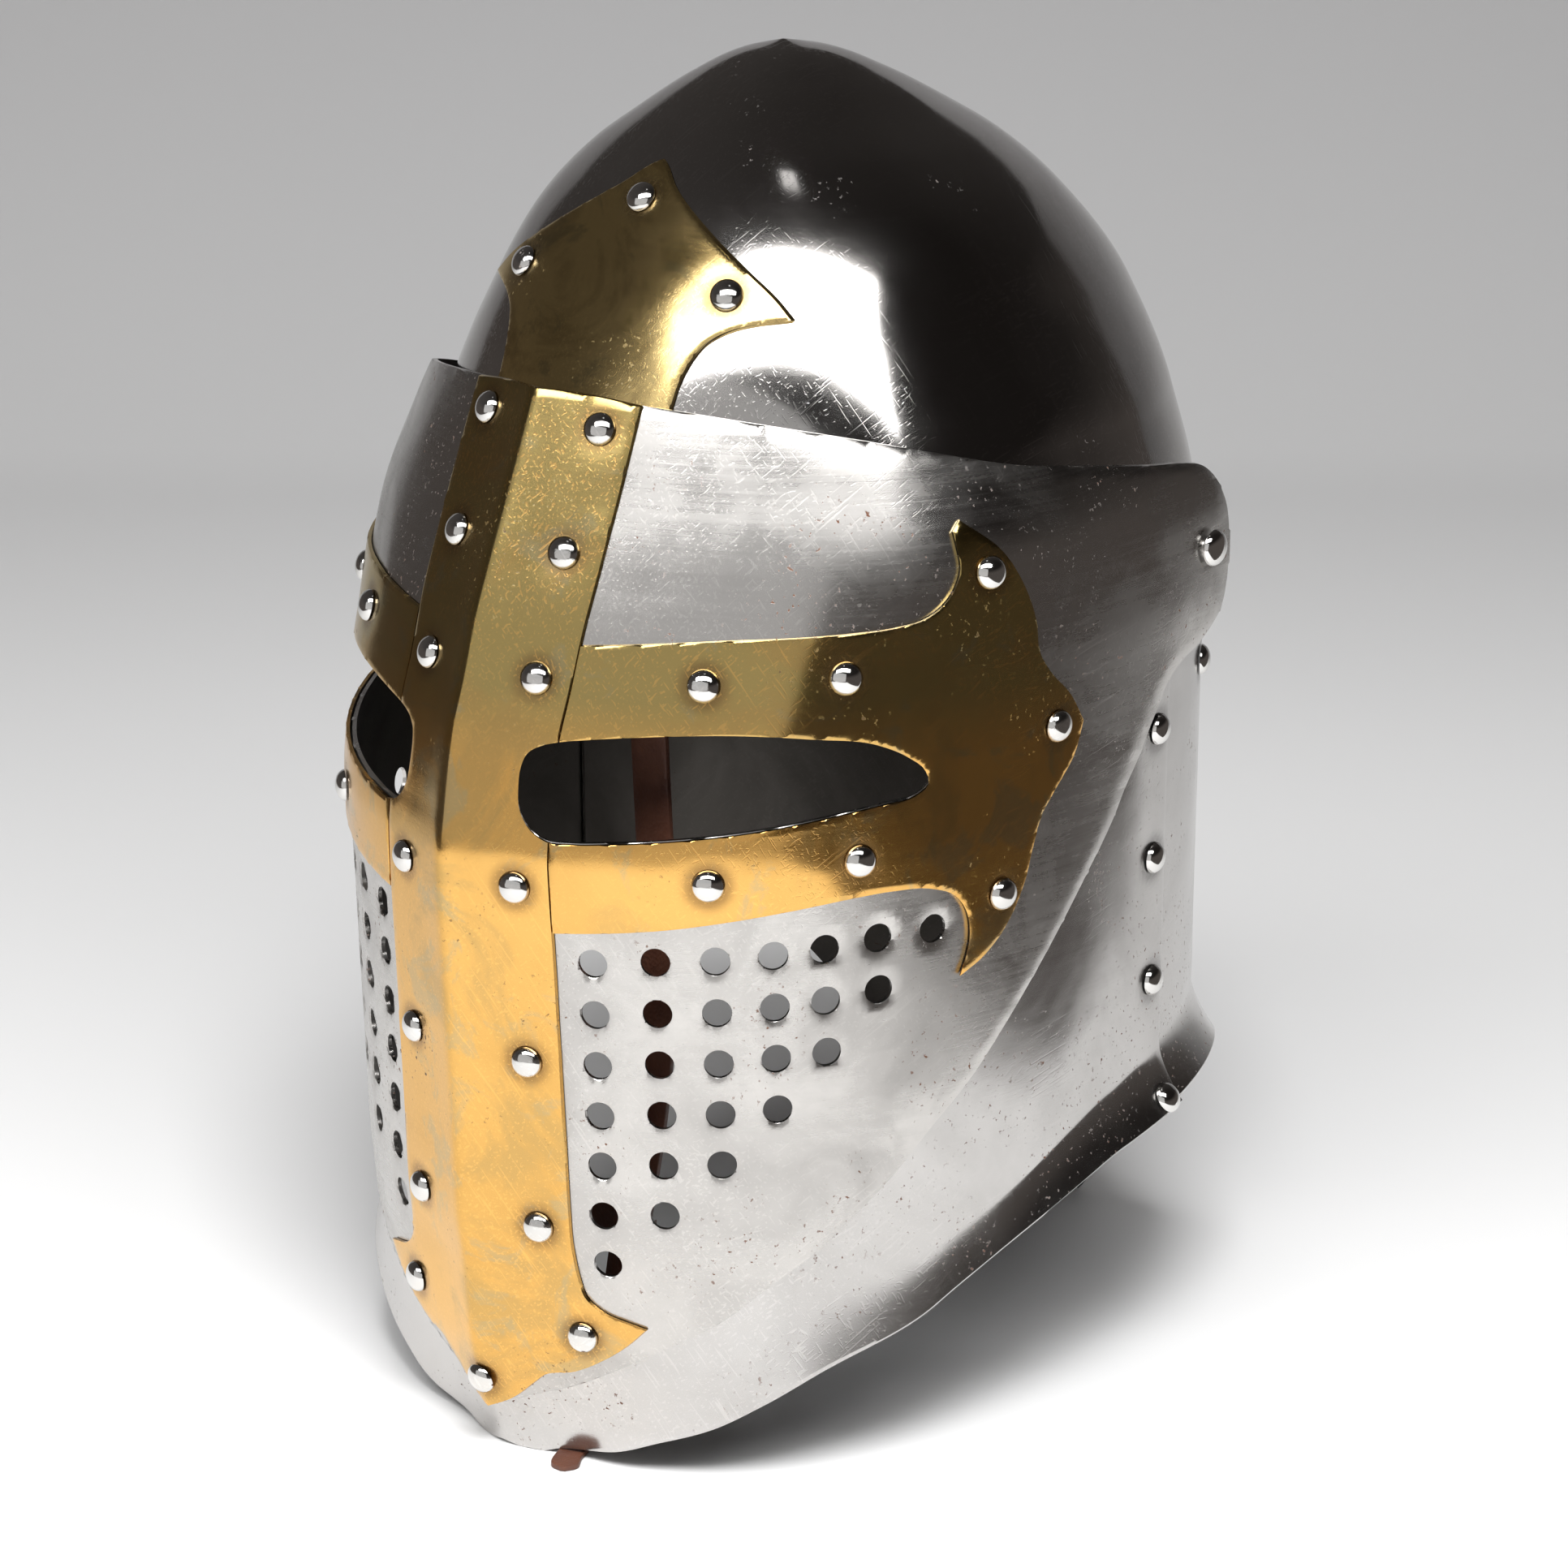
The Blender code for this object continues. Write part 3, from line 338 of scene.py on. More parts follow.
def wear_group():
    """Marks that use leaves in polished metal: rust pits, fine scratches, smoky smears, brushing and waves."""
    group = bpy.data.node_groups.new("metal_wear", 'ShaderNodeTree')
    group.interface.new_socket("Place", in_out='INPUT', socket_type='NodeSocketVector')
    for label, value in (("Pit spread", 0.5), ("Scratch spread", 0.5), ("Smear size", 16.0),
                         ("Brush fineness", 1100.0)):
        group.interface.new_socket(label, in_out='INPUT', socket_type='NodeSocketFloat').default_value = value
    for label in ("Pits", "Scratches", "Smears", "Brushing", "Waves"):
        group.interface.new_socket(label, in_out='OUTPUT', socket_type='NodeSocketFloat')
    nodes, links = group.nodes, group.links
    given, result = nodes.new('NodeGroupInput').outputs, nodes.new('NodeGroupOutput').inputs
    place = given["Place"]

    calc, grain, above = (partial(made, group) for made in (node_math, node_noise, node_above))
    pits = above(grain(place, 620.0, 3.0, 0.6), 0.64, 0.69)
    spread = calc('MULTIPLY', given["Pit spread"], 0.3)
    patches = above(calc('ADD', grain(place, 31.0, 3.0, 0.6), spread), 0.655, 0.78)
    links.new(calc('MULTIPLY', pits, patches, True), result["Pits"])
    total = None
    scratch_ways = (((0.3, 0.9, 0.2), 1500, 30), ((1.1, -0.4, 1.3), 1700, 44), ((-0.7, 0.5, 2.3), 1300, 22))
    for k, (turn, fine, long) in enumerate(scratch_ways):
        slant = nodes.new('ShaderNodeMapping')
        slant.vector_type = 'TEXTURE'
        slant.inputs["Rotation"].default_value = turn
        slant.inputs["Scale"].default_value = (1 / fine, 1 / long, 1 / fine)
        slant.inputs["Location"].default_value = (k * 0.37, k * 0.19, k * 0.53)
        links.new(place, slant.inputs["Vector"])
        line = above(grain(slant.outputs["Vector"], 1.0, 0.0), 0.70, 0.76)
        total = line if total is None else calc('MAXIMUM', total, line)
    spread = calc('MULTIPLY', given["Scratch spread"], 0.3)
    field = above(calc('ADD', grain(place, 12.0, 2.0), spread), 0.48, 0.75)
    links.new(calc('MULTIPLY', total, field, True), result["Scratches"])
    links.new(above(grain(place, given["Smear size"], 5.0, 0.62, 0.6), 0.36, 0.68), result["Smears"])
    level = nodes.new('ShaderNodeCombineXYZ')
    level.inputs[0].default_value = level.inputs[1].default_value = 12.0
    links.new(given["Brush fineness"], level.inputs[2])
    stretched = nodes.new('ShaderNodeVectorMath')
    stretched.operation = 'MULTIPLY'
    links.new(place, stretched.inputs[0])
    links.new(level.outputs[0], stretched.inputs[1])
    links.new(grain(stretched.outputs[0], 1.0, 3.0, 0.7), result["Brushing"])
    links.new(grain(place, 34.0, 2.0, 0.5), result["Waves"])
    return group


WEAR = wear_group()


def metal(name, bright, dull, rust, roughness, smears, brushing, waves, pits, scratches,
          satin=None, tarnish=None, painted_shade_above=None, smear_size=16.0):
    """Polished sheet metal. satin is (low, high, more): rougher below a height. tarnish is three colours: in
    patches, round the rivets as dirt and painted shade, and in a small bloom. shaded is (low, high, colour): a
    darker colour above a height, painted shade."""
    mat = bpy.data.materials.new(name)
    mat.use_nodes = True
    tree = mat.node_tree
    nodes, links = tree.nodes, tree.links
    shader = nodes["Principled BSDF"]
    place = nodes.new('ShaderNodeTexCoord').outputs["Object"]
    wear = nodes.new('ShaderNodeGroup')
    wear.node_tree = WEAR
    for label, value in (("Pit spread", pits), ("Scratch spread", scratches), ("Smear size", smear_size)):
        wear.inputs[label].default_value = value
    links.new(place, wear.inputs["Place"])
    wear = wear.outputs
    grime_and_shade = nodes.new('ShaderNodeAttribute')
    grime_and_shade.attribute_name = "grime_and_shade"
    grime_and_shade = grime_and_shade.outputs["Fac"]
    apart = nodes.new('ShaderNodeSeparateXYZ')
    links.new(place, apart.inputs[0])
    up = apart.outputs["Z"]

    calc, mix = partial(node_math, tree), partial(node_mix, tree)
    colour = mix(calc('MULTIPLY', wear["Smears"], 0.55), bright, dull)
    # Painted shade: above a height the colour turns to a darker one.
    if painted_shade_above:
        colour = mix(node_above(tree, up, painted_shade_above[0], painted_shade_above[1]), colour, painted_shade_above[2])
    if tarnish:
        patch = node_above(tree, node_noise(tree, place, 19.0, 6.0, 0.62, 1.4), 0.50, 0.60)
        colour = mix(calc('MULTIPLY', patch, 0.60), colour, tarnish[0])
        bloom = node_above(tree, node_noise(tree, place, 46.0, 5.0, 0.66, 0.8), 0.56, 0.63)
        colour = mix(calc('MULTIPLY', bloom, 0.45), colour, tarnish[2])
        # Round the rivet heads the colour darkens: dirt, and painted shade where the heads meet the plate.
        colour = mix(calc('MULTIPLY', grime_and_shade, 0.65), colour, tarnish[1])
    else:
        # Without tarnish the plate darkens round the rivet heads instead: dirt and painted shade.
        colour = mix(calc('MULTIPLY', grime_and_shade, 0.5), colour, tuple(0.30 * c for c in dull))
    fresh = tuple(min(1.0, 1.25 * c) for c in bright)
    colour = mix(calc('MULTIPLY', wear["Scratches"], 0.35), colour, fresh)
    links.new(mix(wear["Pits"], colour, rust), shader.inputs["Base Color"])
    links.new(calc('SUBTRACT', 1.0, calc('MULTIPLY', wear["Pits"], 0.75)), shader.inputs["Metallic"])
    rough = roughness
    for marks, share in ((wear["Smears"], smears), (wear["Brushing"], brushing * 0.35),
                         (wear["Pits"], 0.3), (grime_and_shade, 0.10)):
        rough = calc('ADD', rough, calc('MULTIPLY', marks, share))
    if satin:
        low_down = node_above(tree, calc('MULTIPLY', up, -1.0), -satin[1], -satin[0])
        rough = calc('ADD', rough, calc('MULTIPLY', low_down, satin[2]))
    links.new(calc('MINIMUM', rough, 0.95), shader.inputs["Roughness"])
    height = calc('MULTIPLY', wear["Waves"], waves)
    height = calc('ADD', height, calc('MULTIPLY', wear["Brushing"], brushing * 0.02))
    height = calc('SUBTRACT', height, calc('MULTIPLY', wear["Scratches"], 0.007))
    height = calc('SUBTRACT', height, calc('MULTIPLY', wear["Pits"], 0.02))
    bump = nodes.new('ShaderNodeBump')
    bump.inputs["Distance"].default_value = 0.001
    links.new(height, bump.inputs["Height"])
    links.new(bump.outputs["Normal"], shader.inputs["Normal"])
    return mat


skull_steel = metal("skull_steel", (0.53, 0.515, 0.50), (0.37, 0.345, 0.325), (0.10, 0.045, 0.025), 0.07,
                    smears=0.07, brushing=0.08, waves=0.15, pits=0.12, scratches=0.8)
inside_steel = metal("inside_steel", (0.12, 0.11, 0.10), (0.06, 0.052, 0.045), (0.08, 0.04, 0.025), 0.42,
                     smears=0.15, brushing=0.1, waves=0.3, pits=0.5, scratches=0.4)
skull_form = planished(skull_point)


def on_skull(u, v):
    """Rows crowd towards the point, where the form turns fastest."""
    bearing = -180 + 360 * u
    low = skull_edge(abs(bearing))
    return skull_form(bearing, low + (1 - low) * (1 - (1 - v) ** 1.35), 0.0)


skull = plate("skull_shell", 250, 150, on_skull, SKULL_PLATE, skull_steel)

# The pivots' holes through skull and ears.
PIVOT_BACK = 54.5 * MM
PIVOT_UP = 250.9 * MM
PIVOT_SHANK_RADIUS = 3.0 * MM
PIVOT_BORE_CLEARANCE = 0.3 * MM
bores = []
for side in (1, -1):
    bpy.ops.mesh.primitive_cylinder_add(vertices=32, radius=PIVOT_SHANK_RADIUS + PIVOT_BORE_CLEARANCE,
                                        depth=HALF_WIDTH, location=(side * HALF_WIDTH, PIVOT_BACK, PIVOT_UP),
                                        rotation=(0, math.pi / 2, 0))
    bores.append(bpy.context.active_object)
    cut(skull, bores[-1])
finished(skull, None, "helm", "skull")

# Back plate
# Nape plate of mild steel between the two side seams. It is rolled round the neck inside the skull's lower edge
# line, its lower lip is turned out over a stake, and the helm rests on that lip behind.

KEEL_PINCH = 0.075
KEEL_SPREAD = 0.20
FACE_SQUARENESS = 2.3
EAR_REACH = 190.0 * MM
KEEL_ROUND = 2.2 * MM
RIVET_RADIUS = 4.7 * MM
SEAT_DIMPLE = 0.25 * MM
DIMPLE_RADIUS, DIMPLE_END = 7.5 * MM, 24 * MM
NECK_EDGE = 0.35 * MM
LIP_ROWS = 0.35
TUCK_END = 84.0

# Keel of the face plates: share of HEIGHT, share of KEEL_REACH, share of KEEL_PINCH.
KEEL = (
    ("height", "reach", "pinch"),
    (0.000, 0.892, 1.00),
    (0.030, 0.905, 1.00),
    (0.082, 0.936, 1.00),
    (0.145, 0.951, 1.00),
    (0.188, 0.967, 1.00),
    (0.257, 0.974, 1.00),
    (0.366, 0.989, 1.00),
    (0.465, 1.000, 1.00),
    (0.500, 0.988, 1.00),
    (0.557, 0.959, 1.05),
    (0.590, 0.928, 1.10),
    (0.633, 0.892, 1.15),
    (0.676, 0.845, 1.20),
    (0.720, 0.794, 1.20),
    (0.758, 0.751, 1.20),
    (0.800, 0.705, 1.20),
)
# How far the lip of the lower plates turns out at each bearing: share of LIP_FLARE.
LIP = (
    ("bearing", "turn_out"), (0.0, 0.0), (8.0, 0.10), (20.0, 0.55), (40.0, 0.65), (56.0, 0.50), (70.0, 0.45),
    (85.0, 0.75), (100.0, 1.0), (180.0, 1.0),
)
BACK_EDGES = (
    ("bearing", "lower", "crease", "upper"),
    (96.0, 0.2040, 0.247, 0.556),
    (101.5, 0.2090, 0.251, 0.575),
    (112.0, 0.2150, 0.258, 0.590),
    (120.0, 0.2170, 0.262, 0.590),
    (129.0, 0.2140, 0.260, 0.590),
    (138.0, 0.1800, 0.236, 0.590),
    (147.0, 0.1300, 0.186, 0.590),
    (156.0, 0.0750, 0.131, 0.590),
    (165.0, 0.0180, 0.076, 0.590),
    (171.0, -0.0110, 0.050, 0.590),
    (180.0, -0.0110, 0.050, 0.590),
)
# How much higher the tail's two corners stand than in the plain solid: share of HEIGHT.
TAIL_NARROWED = (
    ("bearing", "raised"), (96.0, 0.0), (147.0, 0.0), (156.0, 0.012), (163.0, 0.026), (169.0, 0.024),
    (175.0, 0.0), (180.0, 0.0),
)
BACK_RIVET = (("bearing", "height"), (121.5, 0.5290))
keel_reach = curve(KEEL, "height", "reach")
keel_pinch = curve(KEEL, "height", "pinch")
turn_out = curve(LIP, "bearing", "turn_out")


def face_point(bearing, share, out, ear=False):
    """Point of a face or neck plate whose outer face stands a distance out from the skull."""
    s, c = math.sin(math.radians(abs(bearing))), math.cos(math.radians(bearing))
    w = half_width(share) * HALF_WIDTH + out
    if c >= 0:
        reach = keel_reach(share) * KEEL_REACH + CENTRE_SET_BACK + out - VISOR_OUT
        u = s ** (2 / FACE_SQUARENESS)
        pinch = KEEL_PINCH * keel_pinch(share) * (1 - math.exp(-u / KEEL_SPREAD))
        x, y = w * u, CENTRE_SET_BACK - reach * c ** (2 / FACE_SQUARENESS) * (1 - pinch)
    else:
        reach = EAR_REACH if ear else back_reach(share) * BACK_REACH - CENTRE_SET_BACK + out
        x, y = w * s ** (2 / BACK_SQUARENESS), CENTRE_SET_BACK + reach * (-c) ** (2 / BACK_SQUARENESS)
    return Vector((math.copysign(x, bearing), y, share * HEIGHT))


def soft_keel(bearing, share, out, ear=False):
    """The face plates' form with the small radius of a real bend along the keel."""
    p = face_point(bearing, share, out, ear)
    p.y += 0.5 * (math.hypot(p.x, KEEL_ROUND) - abs(p.x))
    return p


face_form = planished(soft_keel)


def lipped(edges, form=face_form):
    """Form of a neck plate whose lip turns out below its crease."""
    lower, crease = curve(edges, "bearing", "lower"), curve(edges, "bearing", "crease")

    def point(b, share, out):
        a = abs(b)
        drop = max(0.0, (crease(a) - share) / (crease(a) - lower(a)))
        return form(b, share, out + LIP_FLARE * turn_out(a) * drop ** 1.5)
    return point


rivet_seats = {}


def seat_rivet(name, point, bearing, share, out):
    """Notes where a rivet's head sits on a plate and which way it faces."""
    rivet_seats[name] = (point(bearing, share, out), normal_at(point, bearing, share, out))
    return rivet_seats[name]


def dimpled(point, seats):
    """A plate's form pulled in a little round each rivet, as setting a rivet does."""
    def pulled(*where, **extra):
        p = point(*where, **extra)
        for seat, facing in seats:
            apart = (p - seat).length
            if apart < DIMPLE_END:
                p = p - facing * SEAT_DIMPLE * math.exp(-(apart / DIMPLE_RADIUS) ** 2)
        return p
    return pulled


def lower_plate(name, start, end, columns, rows, edges, out, thickness, seats, outside,
                raised=lambda a: 0.0, under=0.0):
    """Neck plate with a turned lip, cut level where it stands on the floor. raised lifts its lower edge, under
    carries its upper edge on behind the plate above as far round as TUCK_END. The lip has LIP_ROWS of the rows."""
    lower, crease, upper = (curve(edges, "bearing", key) for key in ("lower", "crease", "upper"))
    form = dimpled(lipped(edges), seats)

    def place(u, v):
        b = start + (end - start) * u
        b = b - 360 if b > 180 else b
        a = abs(b)
        if v < LIP_ROWS:
            edge = lower(a) + raised(a)
            share = edge + (crease(a) - edge) * v / LIP_ROWS
        else:
            share = crease(a) + (upper(a) + under * (a < TUCK_END) - crease(a)) * (v - LIP_ROWS) / (1 - LIP_ROWS)
        return form(b, share, out)
    obj = plate(name, columns, rows, place, thickness, outside)
    floor_size, floor_depth = 0.5, 0.1
    bpy.ops.mesh.primitive_cube_add(size=1.0, location=(0, 0, -FLOOR_DROP - floor_depth / 2))
    below = bpy.context.active_object
    below.scale = (floor_size, floor_size, floor_depth)
    cut(obj, below)
    scrap(below)
    eased(obj, NECK_EDGE)
    return obj


back_form = lipped(BACK_EDGES)
back_seats = [seat_rivet(f"rivet_back_{tag}", back_form, side * BACK_RIVET[1][0], BACK_RIVET[1][1], BACK_OUT)
              for side, tag in SIDES]
neck_steel = metal("neck_steel", (0.57, 0.555, 0.54), (0.43, 0.415, 0.40), (0.13, 0.055, 0.03), 0.12,
                   smears=0.12, brushing=0.15, waves=0.2, pits=0.6, scratches=0.55)
back_shell = lower_plate("back_shell", 96.0, 264.0, 130, 100, BACK_EDGES, BACK_OUT, BACK_PLATE, back_seats,
                         neck_steel, raised=curve(TAIL_NARROWED, "bearing", "raised"))
finished(back_shell, None, "helm", "back_plate", seats=back_seats)

# Bevor
# Chin plate of mild steel from seam to seam. It carries on the keel of the visor below the chin, laps over the
# back plate at its rear edges and is riveted there, and its lower edge turns out towards the shoulders.

BEVOR_EDGES = (
    ("bearing", "lower", "crease", "upper"),
    (0.0, -0.0065, 0.060, 0.086),
    (3.5, -0.0110, 0.062, 0.088),
    (7.0, -0.0047, 0.066, 0.092),
    (14.0, 0.0018, 0.080, 0.105),
    (22.0, 0.0185, 0.100, 0.125),
    (30.0, 0.0345, 0.118, 0.145),
    (38.0, 0.0570, 0.136, 0.168),
    (47.0, 0.0830, 0.148, 0.190),
    (60.5, 0.1122, 0.158, 0.234),
    (66.0, 0.1300, 0.168, 0.275),
    (72.0, 0.1475, 0.182, 0.315),
    (78.0, 0.1645, 0.199, 0.371),
    (85.0, 0.1835, 0.221, 0.452),
    (90.0, 0.1960, 0.236, 0.498),
    (96.0, 0.2040, 0.247, 0.545),
    (101.5, 0.2090, 0.251, 0.565),
)
SEAM_RIVETS = (("bearing", "height"), (98.4, 0.5069), (98.0, 0.4068), (98.3, 0.3090), (98.8, 0.2155))
seam_seats = [seat_rivet(f"rivet_seam_{tag}_{k}", lipped(BEVOR_EDGES), side * b, up, BEVOR_OUT)
              for side, tag in SIDES for k, (b, up) in enumerate(SEAM_RIVETS[1:], 1)]
bevor_shell = lower_plate("bevor_shell", -101.5, 101.5, 250, 110, BEVOR_EDGES, BEVOR_OUT, BEVOR_PLATE, seam_seats,
                          neck_steel, under=0.014)
finished(bevor_shell, None, "helm", "bevor", seats=seam_seats)

# Visor
# Keeled face plate with rounded ears that hang on the pivots. It is one bent sheet, sawn out at the two eye
# slits, drilled with rows of breathing holes, and brushed across the brow.

HOLE_RADIUS = 4.2 * MM
HOLE_PITCH_UP = 15.35 * MM
HOLE_TOP_ROW = 156.3 * MM
SLIT_DIRECTION = 45.0
VISOR_EDGE = 0.40 * MM

# Side outline of the visor: shares of KEEL_REACH back from the axis (minus is forward) and of HEIGHT.
VISOR_RIM = (
    ("back", "height"),
    (-1.2, 0.787), (-0.72, 0.7863), (-0.694, 0.7844), (-0.671, 0.7824),
    (-0.65, 0.78), (-0.62, 0.7775), (-0.566, 0.7726),
    (-0.441, 0.7609), (-0.309, 0.7472), (-0.174, 0.7335), (0.012, 0.7218),
    (0.198, 0.7101), (0.335, 0.7023), (0.368, 0.699),
    (0.41, 0.6866), (0.43, 0.6729), (0.443, 0.6573), (0.449, 0.628),
)
VISOR_LOWER_EDGE = (
    ("back", "height"),
    (0.443, 0.605), (0.427, 0.5869), (0.389, 0.5745), (0.346, 0.5654),
    (0.28, 0.5565), (0.234, 0.544), (0.205, 0.5283), (0.176, 0.513),
    (0.146, 0.496), (0.1, 0.475), (0.073, 0.4598), (-0.019, 0.4188),
    (-0.236, 0.325), (-0.309, 0.2937), (-0.411, 0.256),
    (-0.48, 0.227), (-0.55, 0.2005), (-0.597, 0.181), (-0.684, 0.146),
    (-0.725, 0.126), (-0.801, 0.093), (-0.835, 0.0715),
    (-0.854, 0.0545), (-0.872, 0.0415), (-0.888, 0.031), (-1.2, 0.025),
)
# Eye slit: share of HALF_WIDTH out from the keel and share of HEIGHT, round its outline.
SLIT_OUTLINE = (
    ("out", "height"),
    (0.19, 0.5465), (0.222, 0.5525), (0.261, 0.556), (0.328, 0.5595),
    (0.476, 0.565), (0.634, 0.5675), (0.779, 0.5635), (0.874, 0.5556),
    (0.913, 0.5439), (0.933, 0.532), (0.937, 0.5224), (0.924, 0.515),
    (0.888, 0.5115), (0.835, 0.5077), (0.744, 0.5015), (0.656, 0.497),
    (0.531, 0.492), (0.4, 0.4878), (0.318, 0.4857), (0.26, 0.486),
    (0.218, 0.4925), (0.188, 0.5048), (0.177, 0.523), (0.178, 0.537),
)
# Columns of breathing holes: share of HALF_WIDTH out from the keel, how many holes hang in each, and how far
# its top hole stands above the first column's as a share of HEIGHT.
HOLE_COLUMNS = (
    ("out", "holes", "rise"),
    (0.368, 7, 0.0), (0.511, 6, 0.0045), (0.632, 5, 0.0065), (0.735, 4, 0.0095),
    (0.814, 3, 0.0117), (0.885, 2, 0.0152), (0.946, 1, 0.0152),
)


def halved(low, high, short):
    """Last bearing between low and high at which short(bearing) is true."""
    for _ in range(40):
        mid = (low + high) / 2
        if short(mid):
            low = mid
        else:
            high = mid
    return low


def bearing_at(out_share, share, out, point=face_point):
    """Bearing at which a surface is a given share of HALF_WIDTH out from the keel."""
    return halved(0.0, 90.0, lambda bearing: point(bearing, share, out).x < out_share * HALF_WIDTH)


def fair(outline, corner=34.0, step=1.6 * MM):
    """Closed outline drawn as one fair curve through its points, with its sharp corners kept."""
    pts = [Vector((a, b)) for a, b in outline]
    n = len(pts)
    runs = [pts[(i + 1) % n] - pts[i] for i in range(n)]
    drawn = []
    ways = []
    for i in range(n):
        before, after = runs[i - 1], runs[i]
        turn = abs(math.degrees(before.angle(after)))
        if turn > corner:
            ways.append((before.normalized(), after.normalized()))
        else:
            way = (before / before.length ** 2 + after / after.length ** 2).normalized()
            ways.append((way, way))
    for i in range(n):
        a, b, run = pts[i], pts[(i + 1) % n], runs[i].length
        out_way, in_way = ways[i][1] * run, ways[(i + 1) % n][0] * run
        pieces = max(1, round(run / step))
        for k in range(pieces):
            p, q, r, s = cubic_shares(k / pieces)
            drawn.append(tuple(a * p + out_way * q + b * r + in_way * s))
    return drawn


def level_direction(bearing):
    return (math.sin(math.radians(bearing)), -math.cos(math.radians(bearing)), 0.0)


def across_of(p, direction):
    direction = Vector(direction).normalized()
    return -direction.y * p.x + direction.x * p.y


def prism(outline, direction, near, far):
    """Cutter: a closed outline of (across, up) swept straight along a level direction."""
    direction = Vector(direction).normalized()
    across = Vector((-direction.y, direction.x, 0.0))
    bpy.ops.mesh.primitive_circle_add(vertices=len(outline), fill_type='NGON')
    obj = bpy.context.active_object
    for v, (a, z) in zip(obj.data.vertices, outline):
        v.co = across * a + Vector((0, 0, z)) + direction * near
    bpy.ops.object.mode_set(mode='EDIT')
    bpy.ops.mesh.select_all(action='SELECT')
    bpy.ops.mesh.extrude_region_move(TRANSFORM_OT_translate={"value": direction * (far - near)})
    bpy.ops.mesh.select_all(action='SELECT')
    bpy.ops.mesh.normals_make_consistent(inside=False)
    bpy.ops.object.mode_set(mode='OBJECT')
    return obj


slit_cutters = []
for side in (1, -1):
    direction = level_direction(side * SLIT_DIRECTION)
    outline = []
    for out_share, up in SLIT_OUTLINE[1:]:
        p = face_point(side * bearing_at(out_share, up, VISOR_OUT), up, VISOR_OUT)
        outline.append((across_of(p, direction), p.z))
    slit_cutters.append(prism(fair(outline, corner=90), direction, 0.35 * KEEL_REACH, 1.5 * KEEL_REACH))

drills = []
for out_share, count, rise in HOLE_COLUMNS[1:]:
    for k in range(count):
        up = rise + (HOLE_TOP_ROW - k * HOLE_PITCH_UP) / HEIGHT
        for side in (1, -1):
            b = side * bearing_at(out_share, up, VISOR_OUT)
            facing = normal_at(face_point, b, up, VISOR_OUT)
            bpy.ops.mesh.primitive_cylinder_add(vertices=32, radius=HOLE_RADIUS, depth=12 * VISOR_PLATE,
                                                location=face_point(b, up, VISOR_OUT),
                                                rotation=facing.to_track_quat('Z', 'Y').to_euler())
            drills.append(bpy.context.active_object)
bpy.ops.object.select_all(action='DESELECT')
for drill in drills:
    drill.select_set(True)
bpy.context.view_layer.objects.active = drills[0]
bpy.ops.object.join()
drill = drills[0]
visor_outline = [(back * KEEL_REACH, up * HEIGHT) for back, up in VISOR_RIM[1:] + VISOR_LOWER_EDGE[1:]]
outline_cutter = prism(fair(visor_outline, corner=60), (1, 0, 0), -2 * HALF_WIDTH, 2 * HALF_WIDTH)


# Blank of the visor and of the upright: shares of HEIGHT at its lower edge and up from there.
BLANK_LOW, BLANK_RISE = 0.020, 0.780
VISOR_BEARING, UPRIGHT_BEARING = 107, 34


def on_visor(u, v):
    """Columns crowd towards the keel, where the form turns fastest."""
    t = 2 * u - 1
    bearing = math.copysign(VISOR_BEARING * abs(t) ** 1.45, t)
    return face_form(bearing, BLANK_LOW + BLANK_RISE * v, VISOR_OUT, ear=True)


visor_steel = metal("visor_steel", (0.575, 0.557, 0.535), (0.36, 0.348, 0.335), (0.15, 0.065, 0.035), 0.08,
                    smears=0.18, brushing=0.45, waves=0.2, pits=0.6, scratches=0.6, satin=(0.19, 0.25, 0.04),
                    smear_size=22.0)
visor_shell = plate("visor_shell", 250, 130, on_visor, VISOR_PLATE, visor_steel)
cut(visor_shell, outline_cutter, 'INTERSECT')
for cutter in (*slit_cutters, drill, *bores):
    cut(visor_shell, cutter)
scrap(drill, outline_cutter, *bores)
eased(visor_shell, VISOR_EDGE)
finished(visor_shell, None, "visor", "visor")

# Brass cross
# Sheet brass sawn to outline and bent over the keel: an upright with a pointed foot, two arms with three-pointed
# ends that butt against it, and its top end on the skull above the visor's rim. The face brass is painted darker
# and more olive above a height, as painted shade.

ARM_DIRECTION = 52.0
BRASS_EDGE = 0.20 * MM

# Right half of the brass, wearer's left: share of HALF_WIDTH out from the keel and share of HEIGHT.
UPRIGHT_OUTLINE = (
    ("out", "height"),
    (0.0, 0.786), (0.08, 0.7852), (0.16, 0.7835), (0.274, 0.7795),
    (0.277, 0.7316), (0.277, 0.66), (0.272, 0.5967),
    (0.27, 0.54), (0.273, 0.4853), (0.279, 0.4168), (0.281, 0.3504),
    (0.283, 0.2624), (0.287, 0.1998), (0.289, 0.1725), (0.296, 0.149),
    (0.308, 0.1353), (0.351, 0.1236), (0.41, 0.1177), (0.454, 0.1138),
    (0.403, 0.0982), (0.343, 0.0845), (0.265, 0.0715),
    (0.18, 0.064), (0.145, 0.0552), (0.07, 0.0365), (0.0, 0.026),
)
SKULL_FINIAL_OUTLINE = (
    ("out", "height"),
    (0.0, 0.929), (0.015, 0.9269), (0.081, 0.9131), (0.186, 0.895),
    (0.267, 0.8814), (0.365, 0.8641), (0.451, 0.8468),
    (0.497, 0.8345), (0.43, 0.8318), (0.373, 0.8266), (0.33, 0.818), (0.306, 0.8047),
    (0.294, 0.7903), (0.291, 0.7748), (0.291, 0.745), (0.0, 0.745),
)
